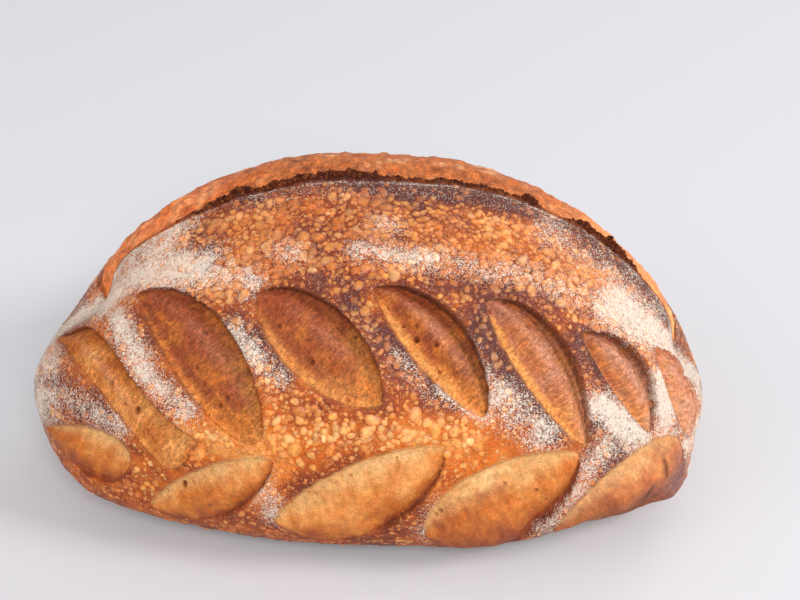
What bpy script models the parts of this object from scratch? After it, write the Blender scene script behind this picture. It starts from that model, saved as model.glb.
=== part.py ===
"""A sourdough batard, baked free-standing: one long slash with a lifted ear, and two rows of leaf cuts.

The loaf lies along X, its leaf cuts face -Y, and its flat base is on Z = 0.
Sizes are in metres.
"""

import math

import bmesh
import bpy
import numpy as np

# The plain body, before it was scored.
LENGTH = 0.260
FRONT_DEPTH = 0.0893  # from the centre line to the front flank, at mid length
BACK_DEPTH = 0.0876
HEIGHT = 0.1167
WAIST_HEIGHT = 0.0283  # where a section is widest
UNDERSIDE = 1.3  # depth of the body's lower curve, in waist heights
PLAN_POWER = 2.1  # superellipse powers
FRONT_POWER = 2.1
BACK_POWER = 2.2
LOWER_POWER = 2.5
FRONT_TAPER = 0.049  # how much deeper the +X end is than the -X end
HEIGHT_TAPER = -0.035
BEND = -0.0219  # both ends curve towards the front
BEND_POWER = 2.6
BASE_EDGE = 0.0066  # height over which the flank turns into the flat base

# Where the body swells or sinks a little: a point on it, how far the swelling reaches, and
# how far it pushes out sideways.
SWELLINGS = (
    ((-0.126, -0.030, 0.050), 0.030, 0.0060),
    ((-0.112, -0.020, 0.080), 0.022, -0.0075),
    ((-0.122, -0.036, 0.026), 0.018, -0.0030),
    ((-0.100, -0.055, 0.006), 0.024, 0.0026),
    ((0.045, -0.082, 0.010), 0.024, 0.0024),
    ((0.078, -0.068, 0.006), 0.012, -0.0030),
    ((0.108, -0.058, 0.008), 0.018, 0.0060),
    ((0.126, -0.036, 0.016), 0.012, -0.0070),
    ((0.131, -0.020, 0.036), 0.014, 0.0012),
)

# The long slash along the top, and the crust that lifted beside it.
SLASH_START = -0.1135
SLASH_END = 0.1215
SLASH_ANGLE = math.radians(89.5)  # round the section, from the front
SLASH_LEAN = math.radians(2.5)  # the line leans back towards the +X end
SLASH_DROP = (math.radians(-6.0), math.radians(18.0))  # how far each tip turns down to the front
SLASH_DROP_POWER = (8, 5)  # the larger, the nearer to its tip the slash turns down
SLASH_SAG = math.radians(3.0)  # and the line dips forward once, near its -X end
SLASH_SAG_PLACE = -0.70  # of the way from its middle to its end
SLASH_SAG_REACH = 0.22
BLOOM_WIDTH = 0.062
BLOOM_RISE = 0.0008
BLOOM_BLUNTNESS = 5.0
EAR_RISE = 0.0028
EAR_REACH = 0.0095
EAR_THICKNESS = 0.0036
TRENCH_DEPTH = 0.0064
TRENCH_REACH = 0.0085
BACK_CRACK_DEPTH = 0.0026
BACK_CRACK_WIDTH = 0.0038
TIP_NOTCH_DEPTH = 0.0050
TIP_NOTCH_REACH = 0.011

# The leaf cuts, drawn on a plane that faces the front flank.
SCORING_TILT = math.radians(40.0)
LEAF_ARCH = 1.35  # 2 would be a parabola, and less is fuller towards the tips
FLAP_RISE = 0.0015
FLAP_REACH = 0.0050
NEAR_RISE = 0.0005
NEAR_DROP = 0.0012
CREASE_PLACE = 0.74  # across a leaf, from -1 at its near side to 1 under the flap
CREASE_SPREAD = 0.40
TROUGH_SPREAD = 0.24
LIP_WIDTH = 0.0052  # over which a leaf's side turns into its floor
LOWER_CREASE_START = 0.40
LOWER_CREASE_FULL = 0.25  # how much further on it has its full depth

# Mesh.
GRID = 16
CROWDING = 0.40  # how much finer the front and top are than the back and base
CROWDED_ANGLE = math.radians(52.0)
END_CROWDING = 0.10
SLASH_SPARING = 0.0020  # the slash's edges follow the rows of points, so they are divided less
EDGE_BANDS = (0.0046, 0.0020)  # faces this near to a cut's edge are divided, each time once


class Leaf:
    """One leaf cut: its two tips, and how far each side bows out from the line between them.

    A point is (x, height in the scoring plane). The crease runs under the flap, on the side
    that bows by flap. A belly is where along the leaf its side bows most. In the lower row
    the head is the lower tip, and the crease starts part of the way to the foot. The trough is
    a second furrow and the ridge a fold of dough: where across the leaf each one runs, and its
    size as a part of the depth. Sharp is how abruptly the two sides bow.
    """

    def __init__(self, head, foot, flap, near, depth, puff, lower=False, crease=1.0,
                 trough=(-0.66, 0.45), ridge=(0.22, 0.26), sharp=(1.0, 1.0)):
        self.head = head
        self.foot = foot
        self.flap_bow, self.flap_belly = flap
        self.near_bow, self.near_belly = near
        self.depth = depth
        self.puff = puff
        self.side = -1.0 if lower else 1.0
        self.crease_start = LOWER_CREASE_START if lower else 0.0
        self.crease = crease * depth
        self.trough_place, self.trough = trough[0], trough[1] * depth
        self.ridge_place, self.ridge = ridge[0], ridge[1] * depth
        self.flap_sharp, self.near_sharp = sharp


# From the -X end. The upper row falls towards +X and its flaps are on the upper side.
UPPER_ROW = (
    Leaf((-0.123, 0.033), (-0.062, -0.006), (0.0118, 0.27), (0.0165, 0.90), 0.0028, 0.0008,
         trough=(-0.70, 0.10), ridge=(-0.10, 0.26), sharp=(2.6, 1.7)),
    Leaf((-0.088, 0.047), (-0.039, -0.006), (0.019, 0.42), (0.009, 0.72), 0.0030, 0.0004),
    Leaf((-0.041, 0.046), (0.004, 0.006), (0.016, 0.46), (0.0125, 0.52), 0.0036, 0.0002,
         trough=(-0.60, 0.30)),
    Leaf((0.001, 0.048), (0.041, 0.002), (0.016, 0.47), (0.0065, 0.55), 0.0044, 0.0002,
         trough=(-0.38, 0.46), ridge=(0.16, 0.36)),
    Leaf((0.041, 0.043), (0.078, -0.009), (0.016, 0.42), (0.0055, 0.52), 0.0044, 0.0004,
         trough=(-0.45, 0.52), ridge=(0.08, 0.36)),
    Leaf((0.076, 0.032), (0.102, -0.004), (0.015, 0.48), (0.0020, 0.50), 0.0034, 0.0006,
         trough=(-0.66, 1.00), ridge=(0.05, 0.36)),
    Leaf((0.105, 0.028), (0.120, -0.006), (0.012, 0.52), (0.0020, 0.50), 0.0020, 0.0010,
         crease=0.4, trough=(-0.60, 0.20)),
)
# The lower row rises towards +X and its creases are on the lower side.
LOWER_ROW = (
    Leaf((-0.123, 0.000), (-0.089, -0.015), (0.011, 0.70), (0.008, 0.66), 0.0014, 0.0012, True, 0.25),
    Leaf((-0.083, -0.030), (-0.035, -0.013), (0.013, 0.52), (0.0065, 0.52), 0.0016, 0.0016, True, 0.7),
    Leaf((-0.036, -0.035), (0.027, -0.009), (0.0185, 0.50), (0.008, 0.52), 0.0018, 0.0020, True, 0.9),
    Leaf((0.020, -0.041), (0.075, -0.010), (0.018, 0.56), (0.012, 0.38), 0.0028, 0.0024, True),
    Leaf((0.066, -0.039), (0.117, -0.008), (0.012, 0.68), (0.009, 0.76), 0.0018, 0.0034, True, 0.8),
)
LEAVES = UPPER_ROW + LOWER_ROW


def smooth_step(value, start, end):
    part = np.clip((value - start) / (end - start), 0.0, 1.0)
    return part * part * (3.0 - 2.0 * part)


def bump(value, centre, reach):
    return np.exp(-(((value - centre) / reach) ** 2))


def flatten_base(z):
    """Heights with everything below the base brought up to it, over a short rounded edge."""
    turned = (z + BASE_EDGE) ** 2 / (4.0 * BASE_EDGE)
    return np.where(z > BASE_EDGE, z, np.where(z < -BASE_EDGE, 0.0, turned))


def body(along, angle):
    """The unscored body. along runs from -1 to 1 between its ends, and angle goes round
    the section: 0 at the front, a right angle at the top."""
    half = LENGTH / 2.0
    reach = np.sign(along) * np.abs(along) ** (2.0 / PLAN_POWER)
    swell = np.clip(1.0 - along**2, 0.0, 1.0) ** (1.0 / PLAN_POWER)
    across = np.cos(angle)
    upward = np.sin(angle)
    in_front = across > 0.0
    above = upward > 0.0
    depth = np.where(in_front, FRONT_DEPTH * (1.0 + FRONT_TAPER * reach), BACK_DEPTH)
    rise = (HEIGHT - WAIST_HEIGHT) * (1.0 + HEIGHT_TAPER * reach)
    rise = np.where(above, rise, WAIST_HEIGHT * UNDERSIDE)
    power = np.where(in_front, FRONT_POWER, BACK_POWER)
    power = np.where(above, power, LOWER_POWER)
    radius = (np.abs(across / depth) ** power + np.abs(upward / rise) ** power) ** (-1.0 / power)
    y = BEND * np.abs(reach) ** BEND_POWER - swell * radius * across
    z = WAIST_HEIGHT + swell * radius * upward
    return np.stack([half * reach, y, flatten_base(z)], axis=1), swell * radius


def body_normals(along, angle):
    step = 1e-3
    ahead = body(np.clip(along + step, -1.0, 1.0), angle)[0]
    behind = body(np.clip(along - step, -1.0, 1.0), angle)[0]
    over = body(along, angle + step)[0]
    under = body(along, angle - step)[0]
    normals = np.cross(ahead - behind, over - under)
    length = np.linalg.norm(normals, axis=1)
    at_end = length < 1e-12
    normals[at_end] = 0.0
    normals[at_end, 0] = np.sign(along[at_end])
    length[at_end] = 1.0
    normals = normals / length[:, None]
    outwards = np.sign(np.sum(normals * leave_centre(along, angle), axis=1))
    return normals * outwards[:, None]


def leave_centre(along, angle):
    swell = np.sqrt(np.clip(1.0 - along**2, 0.0, 1.0))
    return np.stack([along, -swell * np.cos(angle), swell * np.sin(angle)], axis=1)


def scoring_plane(points):
    """Each point's place on the plane that the leaves are drawn on, as x and height."""
    return points[:, 0], points[:, 1] * math.sin(SCORING_TILT) + points[:, 2] * math.cos(SCORING_TILT)


def arch(part, belly):
    """0 at both ends of a side, and 1 at its belly."""
    first = belly * LEAF_ARCH
    last = (1.0 - belly) * LEAF_ARCH
    return (part / belly) ** first * ((1.0 - part) / (1.0 - belly)) ** last


def leaf_frame(leaf, x, height):
    """Where points are in a leaf: part of the way from head to foot, across it from -1 at the
    near side to 1 at the flap, its half width there, and the distance past its tips."""
    run = (leaf.foot[0] - leaf.head[0], leaf.foot[1] - leaf.head[1])
    length = math.hypot(*run)
    unit = (run[0] / length, run[1] / length)
    off = (x - leaf.head[0], height - leaf.head[1])
    part = (off[0] * unit[0] + off[1] * unit[1]) / length
    aside = leaf.side * (off[1] * unit[0] - off[0] * unit[1])
    held = np.clip(part, 0.0, 1.0)
    flap = leaf.flap_bow * arch(held, leaf.flap_belly) ** leaf.flap_sharp
    near = -leaf.near_bow * arch(held, leaf.near_belly) ** leaf.near_sharp
    half = np.maximum((flap - near) / 2.0, 1e-5)
    beyond = np.abs(part - held) * length
    return held, (aside - (flap + near) / 2.0) / half, half, beyond


def leaf_relief(leaf, x, height):
    """How far a leaf cut moves the surface: its near step, the puffed middle, the crease under
    the flap, and the flap itself, which stands up outside the crease."""
    part, across, half, beyond = leaf_frame(leaf, x, height)
    held = np.clip(across, -1.0, 1.0)
    fade = np.sqrt(np.clip(4.0 * part * (1.0 - part), 0.0, 1.0))
    opened = smooth_step(part, leaf.crease_start - 0.01, leaf.crease_start + LOWER_CREASE_FULL)
    opened = np.where(leaf.crease_start > 0.0, opened, 1.0)
    crease = leaf.crease * bump(held, CREASE_PLACE, CREASE_SPREAD) * opened
    trough = leaf.trough * bump(held, leaf.trough_place, TROUGH_SPREAD)
    ridge = leaf.ridge * bump(held, leaf.ridge_place, TROUGH_SPREAD)
    drop = NEAR_DROP * np.where(across > 0.0, opened, 1.0)
    floor = leaf.puff * (1.0 - held**2) + ridge - drop - crease - trough
    past = np.maximum(np.abs(across) - 1.0, 0.0) * half
    lift = np.where(across > 0.0, FLAP_RISE * opened, NEAR_RISE) * np.exp(-((past / FLAP_REACH) ** 2))
    side = (1.0 - np.abs(across)) * half
    inside = smooth_step(side, -LIP_WIDTH / 2.0, LIP_WIDTH / 2.0)
    return fade * (inside * floor + (1.0 - inside) * lift)


def leaf_edge_distance(leaf, x, height):
    part, across, half, beyond = leaf_frame(leaf, x, height)
    return np.hypot((np.abs(across) - 1.0) * half, beyond)


def slash_place(x):
    """How far along the slash x is, from -1 to 1, and how much of its full size it has there."""
    middle = (SLASH_START + SLASH_END) / 2.0
    place = (x - middle) / ((SLASH_END - SLASH_START) / 2.0)
    return place, np.clip(1.0 - np.abs(place) ** BLOOM_BLUNTNESS, 0.0, 1.0)


def slash_angle(x):
    place = slash_place(x)[0]
    power = np.where(place < 0.0, *SLASH_DROP_POWER)
    drop = np.where(place < 0.0, *SLASH_DROP) * np.minimum(np.abs(place), 1.04) ** power
    sag = SLASH_SAG * bump(place, SLASH_SAG_PLACE, SLASH_SAG_REACH)
    return SLASH_ANGLE + SLASH_LEAN * place - drop - sag


def bloom_width(size):
    return np.maximum(BLOOM_WIDTH * np.sqrt(size), 1e-6)


def slash_relief(x, behind):
    """How far the slash moves the surface, behind metres to the back of the ear's edge."""
    place, size = slash_place(x)
    strength = np.sqrt(size)
    width = bloom_width(size)
    ear = EAR_RISE * np.exp(-((np.minimum(behind, 0.0) / EAR_REACH) ** 2))
    lip = 1.0 - smooth_step(behind, EAR_THICKNESS * 0.5, EAR_THICKNESS)
    trench = -TRENCH_DEPTH * np.exp(-np.maximum(behind - EAR_THICKNESS, 0.0) / TRENCH_REACH)
    in_bloom = smooth_step(behind, 0.0, EAR_THICKNESS) * (behind < width)
    crack = -BACK_CRACK_DEPTH * bump(behind, width, BACK_CRACK_WIDTH)
    crown = BLOOM_RISE * np.sin(np.clip(behind / width, 0.0, 1.0) * math.pi)
    return strength * (ear * lip + trench * in_bloom + crown + crack)


def swellings(points, normals):
    """The sideways push of each swelling."""
    outward = normals * (1.0, 1.0, 0.0)
    outward = outward / np.maximum(np.linalg.norm(outward, axis=1), 0.3)[:, None]
    total = np.zeros(len(points))
    for place, reach, push in SWELLINGS:
        total += push * np.exp(-np.sum((points - place) ** 2, axis=1) / reach**2)
    return outward * total[:, None]


def tip_notches(points):
    """The slash's two tips are pulled in where the crust stopped opening."""
    total = np.zeros(len(points))
    for end in (SLASH_START, SLASH_END):
        tip = slash_tip(end)
        total -= TIP_NOTCH_DEPTH * np.exp(-np.sum((points - tip) ** 2, axis=1) / TIP_NOTCH_REACH**2)
    return total


def slash_tip(x):
    along = np.sign(x) * (abs(x) / (LENGTH / 2.0)) ** (PLAN_POWER / 2.0)
    return body(np.array([along]), np.array([slash_angle(x)]))[0][0]


def relief(points, angle, radius):
    """How far each point of the plain body moves along its normal, out being positive."""
    x, height = scoring_plane(points)
    behind = (angle - slash_angle(points[:, 0])) * radius
    on_flank = smooth_step(points[:, 2], 0.001, 0.007) * (np.cos(angle - math.radians(35.0)) > 0.2)
    total = np.zeros(len(points))
    for leaf in LEAVES:
        total += leaf_relief(leaf, x, height)
    total = total * on_flank
    total += tip_notches(points)
    return total + slash_relief(points[:, 0], behind) * smooth_step(angle, 0.5, 1.0)


def directions(corners):
    """The place along the body and round it that each point of a cube stands for."""
    spread = np.tan(corners * math.pi / 4.0)
    spread = spread / np.linalg.norm(spread, axis=1)[:, None]
    along = spread[:, 0] + END_CROWDING * spread[:, 0] * (1.0 - spread[:, 0] ** 2)
    turned = np.arctan2(spread[:, 2], -spread[:, 1])
    top = math.pi / 2.0
    lag = np.sin(turned - CROWDED_ANGLE) - math.sin(top - CROWDED_ANGLE)
    return np.clip(along, -1.0, 1.0), turned - CROWDING * lag


def follow_slash(along, angle):
    """Angles moved a little so that one row of points lies along the ear's edge, and the next
    row stands close behind it."""
    x = LENGTH / 2.0 * np.sign(along) * np.abs(along) ** (2.0 / PLAN_POWER)
    off = angle - math.pi / 2.0
    near = np.exp(-((off / 0.5) ** 2))
    pinch = 0.42 * off * np.exp(-((off / 0.07) ** 2)) * (off > 0.0)
    return angle + (slash_angle(x) - math.pi / 2.0) * near - pinch


def read_points(shape):
    return np.array([vertex.co[:] for vertex in shape.verts])


def grid_cube():
    shape = bmesh.new()
    bmesh.ops.create_cube(shape, size=2.0)
    bmesh.ops.subdivide_edges(shape, edges=shape.edges[:], cuts=GRID - 1, use_grid_fill=True)
    return shape


def cut_edge_distance(points, angle, radius):
    """How far each point is from the nearest edge of a cut."""
    x, height = scoring_plane(points)
    facing = (np.cos(angle - math.radians(35.0)) > 0.2) & (points[:, 2] > 0.002)
    nearest = np.full(len(points), 1.0)
    for leaf in LEAVES:
        nearest = np.minimum(nearest, leaf_edge_distance(leaf, x, height))
    nearest = np.where(facing, nearest, 1.0)
    size = slash_place(points[:, 0])[1]
    behind = (angle - slash_angle(points[:, 0])) * radius
    edges = np.minimum(np.abs(behind - EAR_THICKNESS), np.abs(behind - bloom_width(size)))
    return np.minimum(nearest, np.where(size > 0.0, edges + SLASH_SPARING, 1.0))


def divide_near_cuts(shape, band):
    """Finer faces along the cuts' edges, where the surface turns sharply."""
    along, angle = directions(read_points(shape))
    angle = follow_slash(along, angle)
    points, radius = body(along, angle)
    chosen = cut_edge_distance(points, angle, radius) < band
    shape.verts.index_update()
    edges = [edge for edge in shape.edges if chosen[edge.verts[0].index] or chosen[edge.verts[1].index]]
    bmesh.ops.subdivide_edges(shape, edges=edges, cuts=1, use_grid_fill=True)


def place_points(shape):
    along, angle = directions(read_points(shape))
    angle = follow_slash(along, angle)
    points, radius = body(along, angle)
    normals = body_normals(along, angle)
    points = points + swellings(points, normals) + normals * relief(points, angle, radius)[:, None]
    points[:, 2] = np.maximum(points[:, 2], 0.0)
    middle = (points.max(axis=0) + points.min(axis=0)) / 2.0
    points[:, 0] -= middle[0]
    points[:, 1] -= middle[1]
    for vertex, point in zip(shape.verts, points):
        vertex.co = point


def crust_material():
    material = bpy.data.materials.new("crust")
    material.use_nodes = True
    shader = material.node_tree.nodes["Principled BSDF"]
    shader.inputs["Base Color"].default_value = (0.38, 0.13, 0.035, 1.0)
    shader.inputs["Roughness"].default_value = 0.62
    shader.inputs["Metallic"].default_value = 0.0
    return material


def make_loaf():
    shape = grid_cube()
    for band in EDGE_BANDS:
        divide_near_cuts(shape, band)
    place_points(shape)
    bmesh.ops.triangulate(shape, faces=shape.faces[:], quad_method="SHORT_EDGE")
    bmesh.ops.recalc_face_normals(shape, faces=shape.faces[:])
    mesh = bpy.data.meshes.new("loaf")
    shape.to_mesh(mesh)
    shape.free()
    mesh.shade_smooth()
    mesh.materials.append(crust_material())
    loaf = bpy.data.objects.new("loaf", mesh)
    bpy.context.scene.collection.objects.link(loaf)
    return loaf


for old in list(bpy.data.objects):
    bpy.data.objects.remove(old, do_unlink=True)
make_loaf()
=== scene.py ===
import math
from functools import partial

import bpy
import numpy as np
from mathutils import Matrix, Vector


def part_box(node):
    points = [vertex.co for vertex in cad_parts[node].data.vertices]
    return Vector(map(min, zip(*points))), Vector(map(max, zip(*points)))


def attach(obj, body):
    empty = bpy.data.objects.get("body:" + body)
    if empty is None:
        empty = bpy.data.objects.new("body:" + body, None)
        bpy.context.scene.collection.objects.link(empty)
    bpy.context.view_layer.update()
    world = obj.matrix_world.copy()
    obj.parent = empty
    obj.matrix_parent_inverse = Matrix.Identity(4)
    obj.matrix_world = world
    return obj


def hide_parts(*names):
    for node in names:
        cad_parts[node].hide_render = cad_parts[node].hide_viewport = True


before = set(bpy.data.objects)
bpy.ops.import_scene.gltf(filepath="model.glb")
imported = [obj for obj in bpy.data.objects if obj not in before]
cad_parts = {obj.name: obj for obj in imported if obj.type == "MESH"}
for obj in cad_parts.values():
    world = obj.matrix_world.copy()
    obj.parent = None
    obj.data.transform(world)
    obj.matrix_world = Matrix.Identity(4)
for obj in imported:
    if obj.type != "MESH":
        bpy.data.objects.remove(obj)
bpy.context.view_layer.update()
loafLow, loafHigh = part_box("loaf")
mm = 0.001
print("frame loaded, loaf is", [round((b - a) * 1000, 1) for a, b in zip(loafLow, loafHigh)], "mm")

# plain maths used by every piece


def smoothStep(value, start, end):
    part = np.clip((value - start) / (end - start), 0, 1)
    return part * part * (3 - 2 * part)


def hill(value, centre, reach):
    return np.exp(-(((value - centre) / reach) ** 2))


nearCells = [(dx, dy, dz) for dx in (-1, 0, 1) for dy in (-1, 0, 1) for dz in (-1, 0, 1)]
scatter = [np.uint32(factor) for factor in (374761393, 668265263, 2246822519, 1274126177)]


def latticeValue(cell, seed):  # a number from -1 to 1 for each whole-numbered cell
    mixed = cell[:, 0] * scatter[0] + cell[:, 1] * scatter[1]
    mixed = mixed + cell[:, 2] * scatter[2] + np.uint32(seed * 40503 + 977)
    mixed = (mixed ^ (mixed >> np.uint32(13))) * scatter[3]
    mixed = mixed ^ (mixed >> np.uint32(16))
    return mixed.astype(np.float64) / 2**31 - 1


def softNoise(points, size, seed=0):  # smooth noise from -1 to 1, size in metres
    scaled = points / size
    cell = np.floor(scaled)
    part = scaled - cell
    part = part * part * part * (part * (part * 6 - 15) + 10)
    cell = cell.astype(np.int64)
    total = np.zeros(len(points))
    for corner in range(8):
        step = np.array([corner & 1, corner >> 1 & 1, corner >> 2])
        weight = np.prod(np.where(step == 1, part, 1 - part), axis=1)
        total += weight * latticeValue((cell + step).astype(np.uint32), seed)
    return total


def layeredNoise(points, size, layers=3, seed=0):
    total = np.zeros(len(points))
    for layer in range(layers):
        total += softNoise(points, size / 2**layer, seed + 17 * layer) / 2**layer
    return total


def pitNoise(points, size, seed=0):  # 0 far from a pit's middle, 1 at it
    scaled = points / size
    home = np.floor(scaled)
    nearest = np.full(len(points), 9.0)
    for step in nearCells:
        cell = home + step
        key = cell.astype(np.int64).astype(np.uint32)
        centre = cell + 0.5 + 0.4 * np.stack([latticeValue(key, seed + k) for k in (1, 2, 3)], axis=1)
        nearest = np.minimum(nearest, np.sum((scaled - centre) ** 2, axis=1))
    return np.exp(-nearest / 0.09)


# the loaf's form, worked out as for the solid: sizes in metres

loafForm = {
    "length": 0.260,
    "frontDepth": 0.0893,
    "backDepth": 0.0876,
    "height": 0.1167,
    "waistHeight": 0.0283,
    "underside": 1.3,
    "planPower": 2.1,
    "frontPower": 2.1,
    "backPower": 2.2,
    "lowerPower": 2.5,
    "frontTaper": 0.049,
    "heightTaper": -0.035,
    "bend": -0.0219,
    "bendPower": 2.6,
    "baseEdge": 0.0066,
    "swellings": (  # a point, how far it reaches, how far it pushes out
        ((-0.126, -0.030, 0.050), 0.030, 0.0060),
        ((-0.112, -0.020, 0.080), 0.022, -0.0075),
        ((-0.122, -0.036, 0.026), 0.018, -0.0030),
        ((-0.100, -0.055, 0.006), 0.024, 0.0026),
        ((0.045, -0.082, 0.010), 0.024, 0.0024),
        ((0.078, -0.068, 0.006), 0.012, -0.0030),
        ((0.108, -0.058, 0.008), 0.018, 0.0060),
        ((0.126, -0.036, 0.016), 0.012, -0.0070),
        ((0.131, -0.020, 0.036), 0.014, 0.0012),
    ),
}


def flattenBase(z):
    edge = loafForm["baseEdge"]
    turned = (z + edge) ** 2 / (4 * edge)
    return np.where(z > edge, z, np.where(z < -edge, 0, turned))


def bodyAt(along, angle):  # along -1 to 1, angle round the section with 0 in front and 90 degrees on top
    form = loafForm
    reach = np.sign(along) * np.abs(along) ** (2 / form["planPower"])
    swell = np.clip(1 - along**2, 0, 1) ** (1 / form["planPower"])
    across, upward = np.cos(angle), np.sin(angle)
    inFront, above = across > 0, upward > 0
    depth = np.where(inFront, form["frontDepth"] * (1 + form["frontTaper"] * reach), form["backDepth"])
    rise = (form["height"] - form["waistHeight"]) * (1 + form["heightTaper"] * reach)
    rise = np.where(above, rise, form["waistHeight"] * form["underside"])
    power = np.where(above, np.where(inFront, form["frontPower"], form["backPower"]), form["lowerPower"])
    radius = (np.abs(across / depth) ** power + np.abs(upward / rise) ** power) ** (-1 / power)
    y = form["bend"] * np.abs(reach) ** form["bendPower"] - swell * radius * across
    z = form["waistHeight"] + swell * radius * upward
    return np.stack([form["length"] / 2 * reach, y, flattenBase(z)], axis=1), swell * radius


def bodyNormals(along, angle):
    step = 1e-3
    ahead = bodyAt(np.clip(along + step, -1, 1), angle)[0] - bodyAt(np.clip(along - step, -1, 1), angle)[0]
    around = bodyAt(along, angle + step)[0] - bodyAt(along, angle - step)[0]
    normals = np.cross(ahead, around)
    length = np.linalg.norm(normals, axis=1)
    atEnd = length < 1e-12
    normals[atEnd] = 0
    normals[atEnd, 0] = np.sign(along[atEnd])
    length[atEnd] = 1
    normals = normals / length[:, None]
    swell = np.sqrt(np.clip(1 - along**2, 0, 1))
    away = np.stack([along, -swell * np.cos(angle), swell * np.sin(angle)], axis=1)
    return normals * np.sign(np.sum(normals * away, axis=1))[:, None]


# the long slash, its ear and the bloom behind it

slash = {
    "start": -0.1135,
    "end": 0.1215,
    "angle": math.radians(89.5),
    "lean": math.radians(2.5),
    "drop": (math.radians(-6), math.radians(18)),  # how far each end turns down toward the front
    "dropPower": (8, 5),  # the larger, the nearer to its end it turns down
    "sag": math.radians(3.0),
    "sagPlace": -0.70,  # along the slash, from -1 to 1
    "sagReach": 0.22,
    "bloomWidth": 0.062,
    "bloomRise": 0.0008,
    "bluntness": 5,
    "earRise": 0.0028,
    "earReach": 0.0095,
    "earThickness": 0.0030,
    "earLip": 0.0015,  # how much higher the torn edge stands than the skin in front of it
    "earLean": 0.0022,
    "earSides": (0.5, 1.0),  # angles round the loaf between which the ear begins
    "tornStart": (-0.082, -0.050),
    "tornThinner": (-0.006, 0.012),
    "tornEnd": (0.045, 0.062),
    "tornLumps": ((0.060, 0.004, 1.0), (0.079, 0.005, 0.7), (0.092, 0.008, 0.9)),  # place, reach, thickness
    "raggedness": (0.8 * mm, 7 * mm),  # how deep the torn edge's notches are, and their size
    "trenchDepth": 0.0064,
    "trenchReach": 0.0085,
    "crackDepth": 0.0026,
    "crackWidth": 0.0022,
    "notchDepth": 0.0050,
    "notchReach": 0.011,
}


def slashPlace(x):
    middle = (slash["start"] + slash["end"]) / 2
    place = (x - middle) / ((slash["end"] - slash["start"]) / 2)
    return place, np.clip(1 - np.abs(place) ** slash["bluntness"], 0, 1)


def slashAngle(x):
    place = slashPlace(x)[0]
    power = np.where(place < 0, *slash["dropPower"])
    turn = np.where(place < 0, *slash["drop"]) * np.minimum(np.abs(place), 1.04) ** power
    sag = slash["sag"] * hill(place, slash["sagPlace"], slash["sagReach"])
    return slash["angle"] + slash["lean"] * place - turn - sag


def tornAmount(x):  # how thick the burnt edge is along the ear
    run = smoothStep(x, *slash["tornStart"]) * (1 - 0.45 * smoothStep(x, *slash["tornThinner"]))
    run = run * (1 - smoothStep(x, *slash["tornEnd"]))
    lumps = sum(amount * hill(x, centre, reach) for centre, reach, amount in slash["tornLumps"])
    return np.clip(run + lumps, 0, 1)


# the leaf cuts: tips, how far each side bows and where its belly is, in the plane that faces the flank

scoring = {
    "tilt": math.radians(40),
    "facing": math.radians(35),  # the angle round the loaf that the scored flank faces
    "flankFoot": (1 * mm, 7 * mm),  # heights between which the flank begins
    "arch": 1.35,
    "flapRise": 0.0015,
    "flapReach": 0.0050,
    "nearRise": 0.0005,
    "nearDrop": 0.0012,
    "nearBlend": 0.0016,
    "lowerBlend": 1.6,  # how much softer the near side of a lower cut is
    "lipWidth": 0.0009,
    "overhang": 0.0012,
    "overhangReach": 0.0022,
    "crease": (0.95, 0.42),  # its place across the cut, from -1 to 1, and its spread
    "grooveSpread": 0.22,
    "swellSpread": 0.24,
    "lowerCreaseStart": 0.40,
    "lowerCreaseFull": 0.25,
}


def leafCut(head, foot, flap, near, depth, puff, **looks):
    leaf = {
        "head": head,
        "foot": foot,
        "flap": flap,
        "near": near,
        "depth": depth,
        "puff": puff,
        "brown": 0.5,  # how dark its upper middle is baked
        "tan": 0.36,  # and how dark the rest of it is
        "dusty": 0.0,  # how pale and floury it is
        "smeared": 0.0,  # how much flour is drawn along its upper side
        "soft": False,  # whether its flap side is as soft as its near side
        "glow": 0.0,  # how golden the strip along its near side is: partly less-baked dough, partly painted light on the slope that faces the lamps
        "groove": (-0.66, 0.45),  # where the second furrow runs, and its depth as a part of the crease's
        "bulge": 0.22,  # where the dough swells between the two
        "swell": 0.26,  # how high, as a part of the crease's depth
        "sharp": (1.0, 1.0),  # how abruptly the flap side and the near side bow
        "overhang": 1.0,
        "crease": 1.0,
        "lower": False,
    }
    leaf.update(looks)
    return leaf


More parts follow.
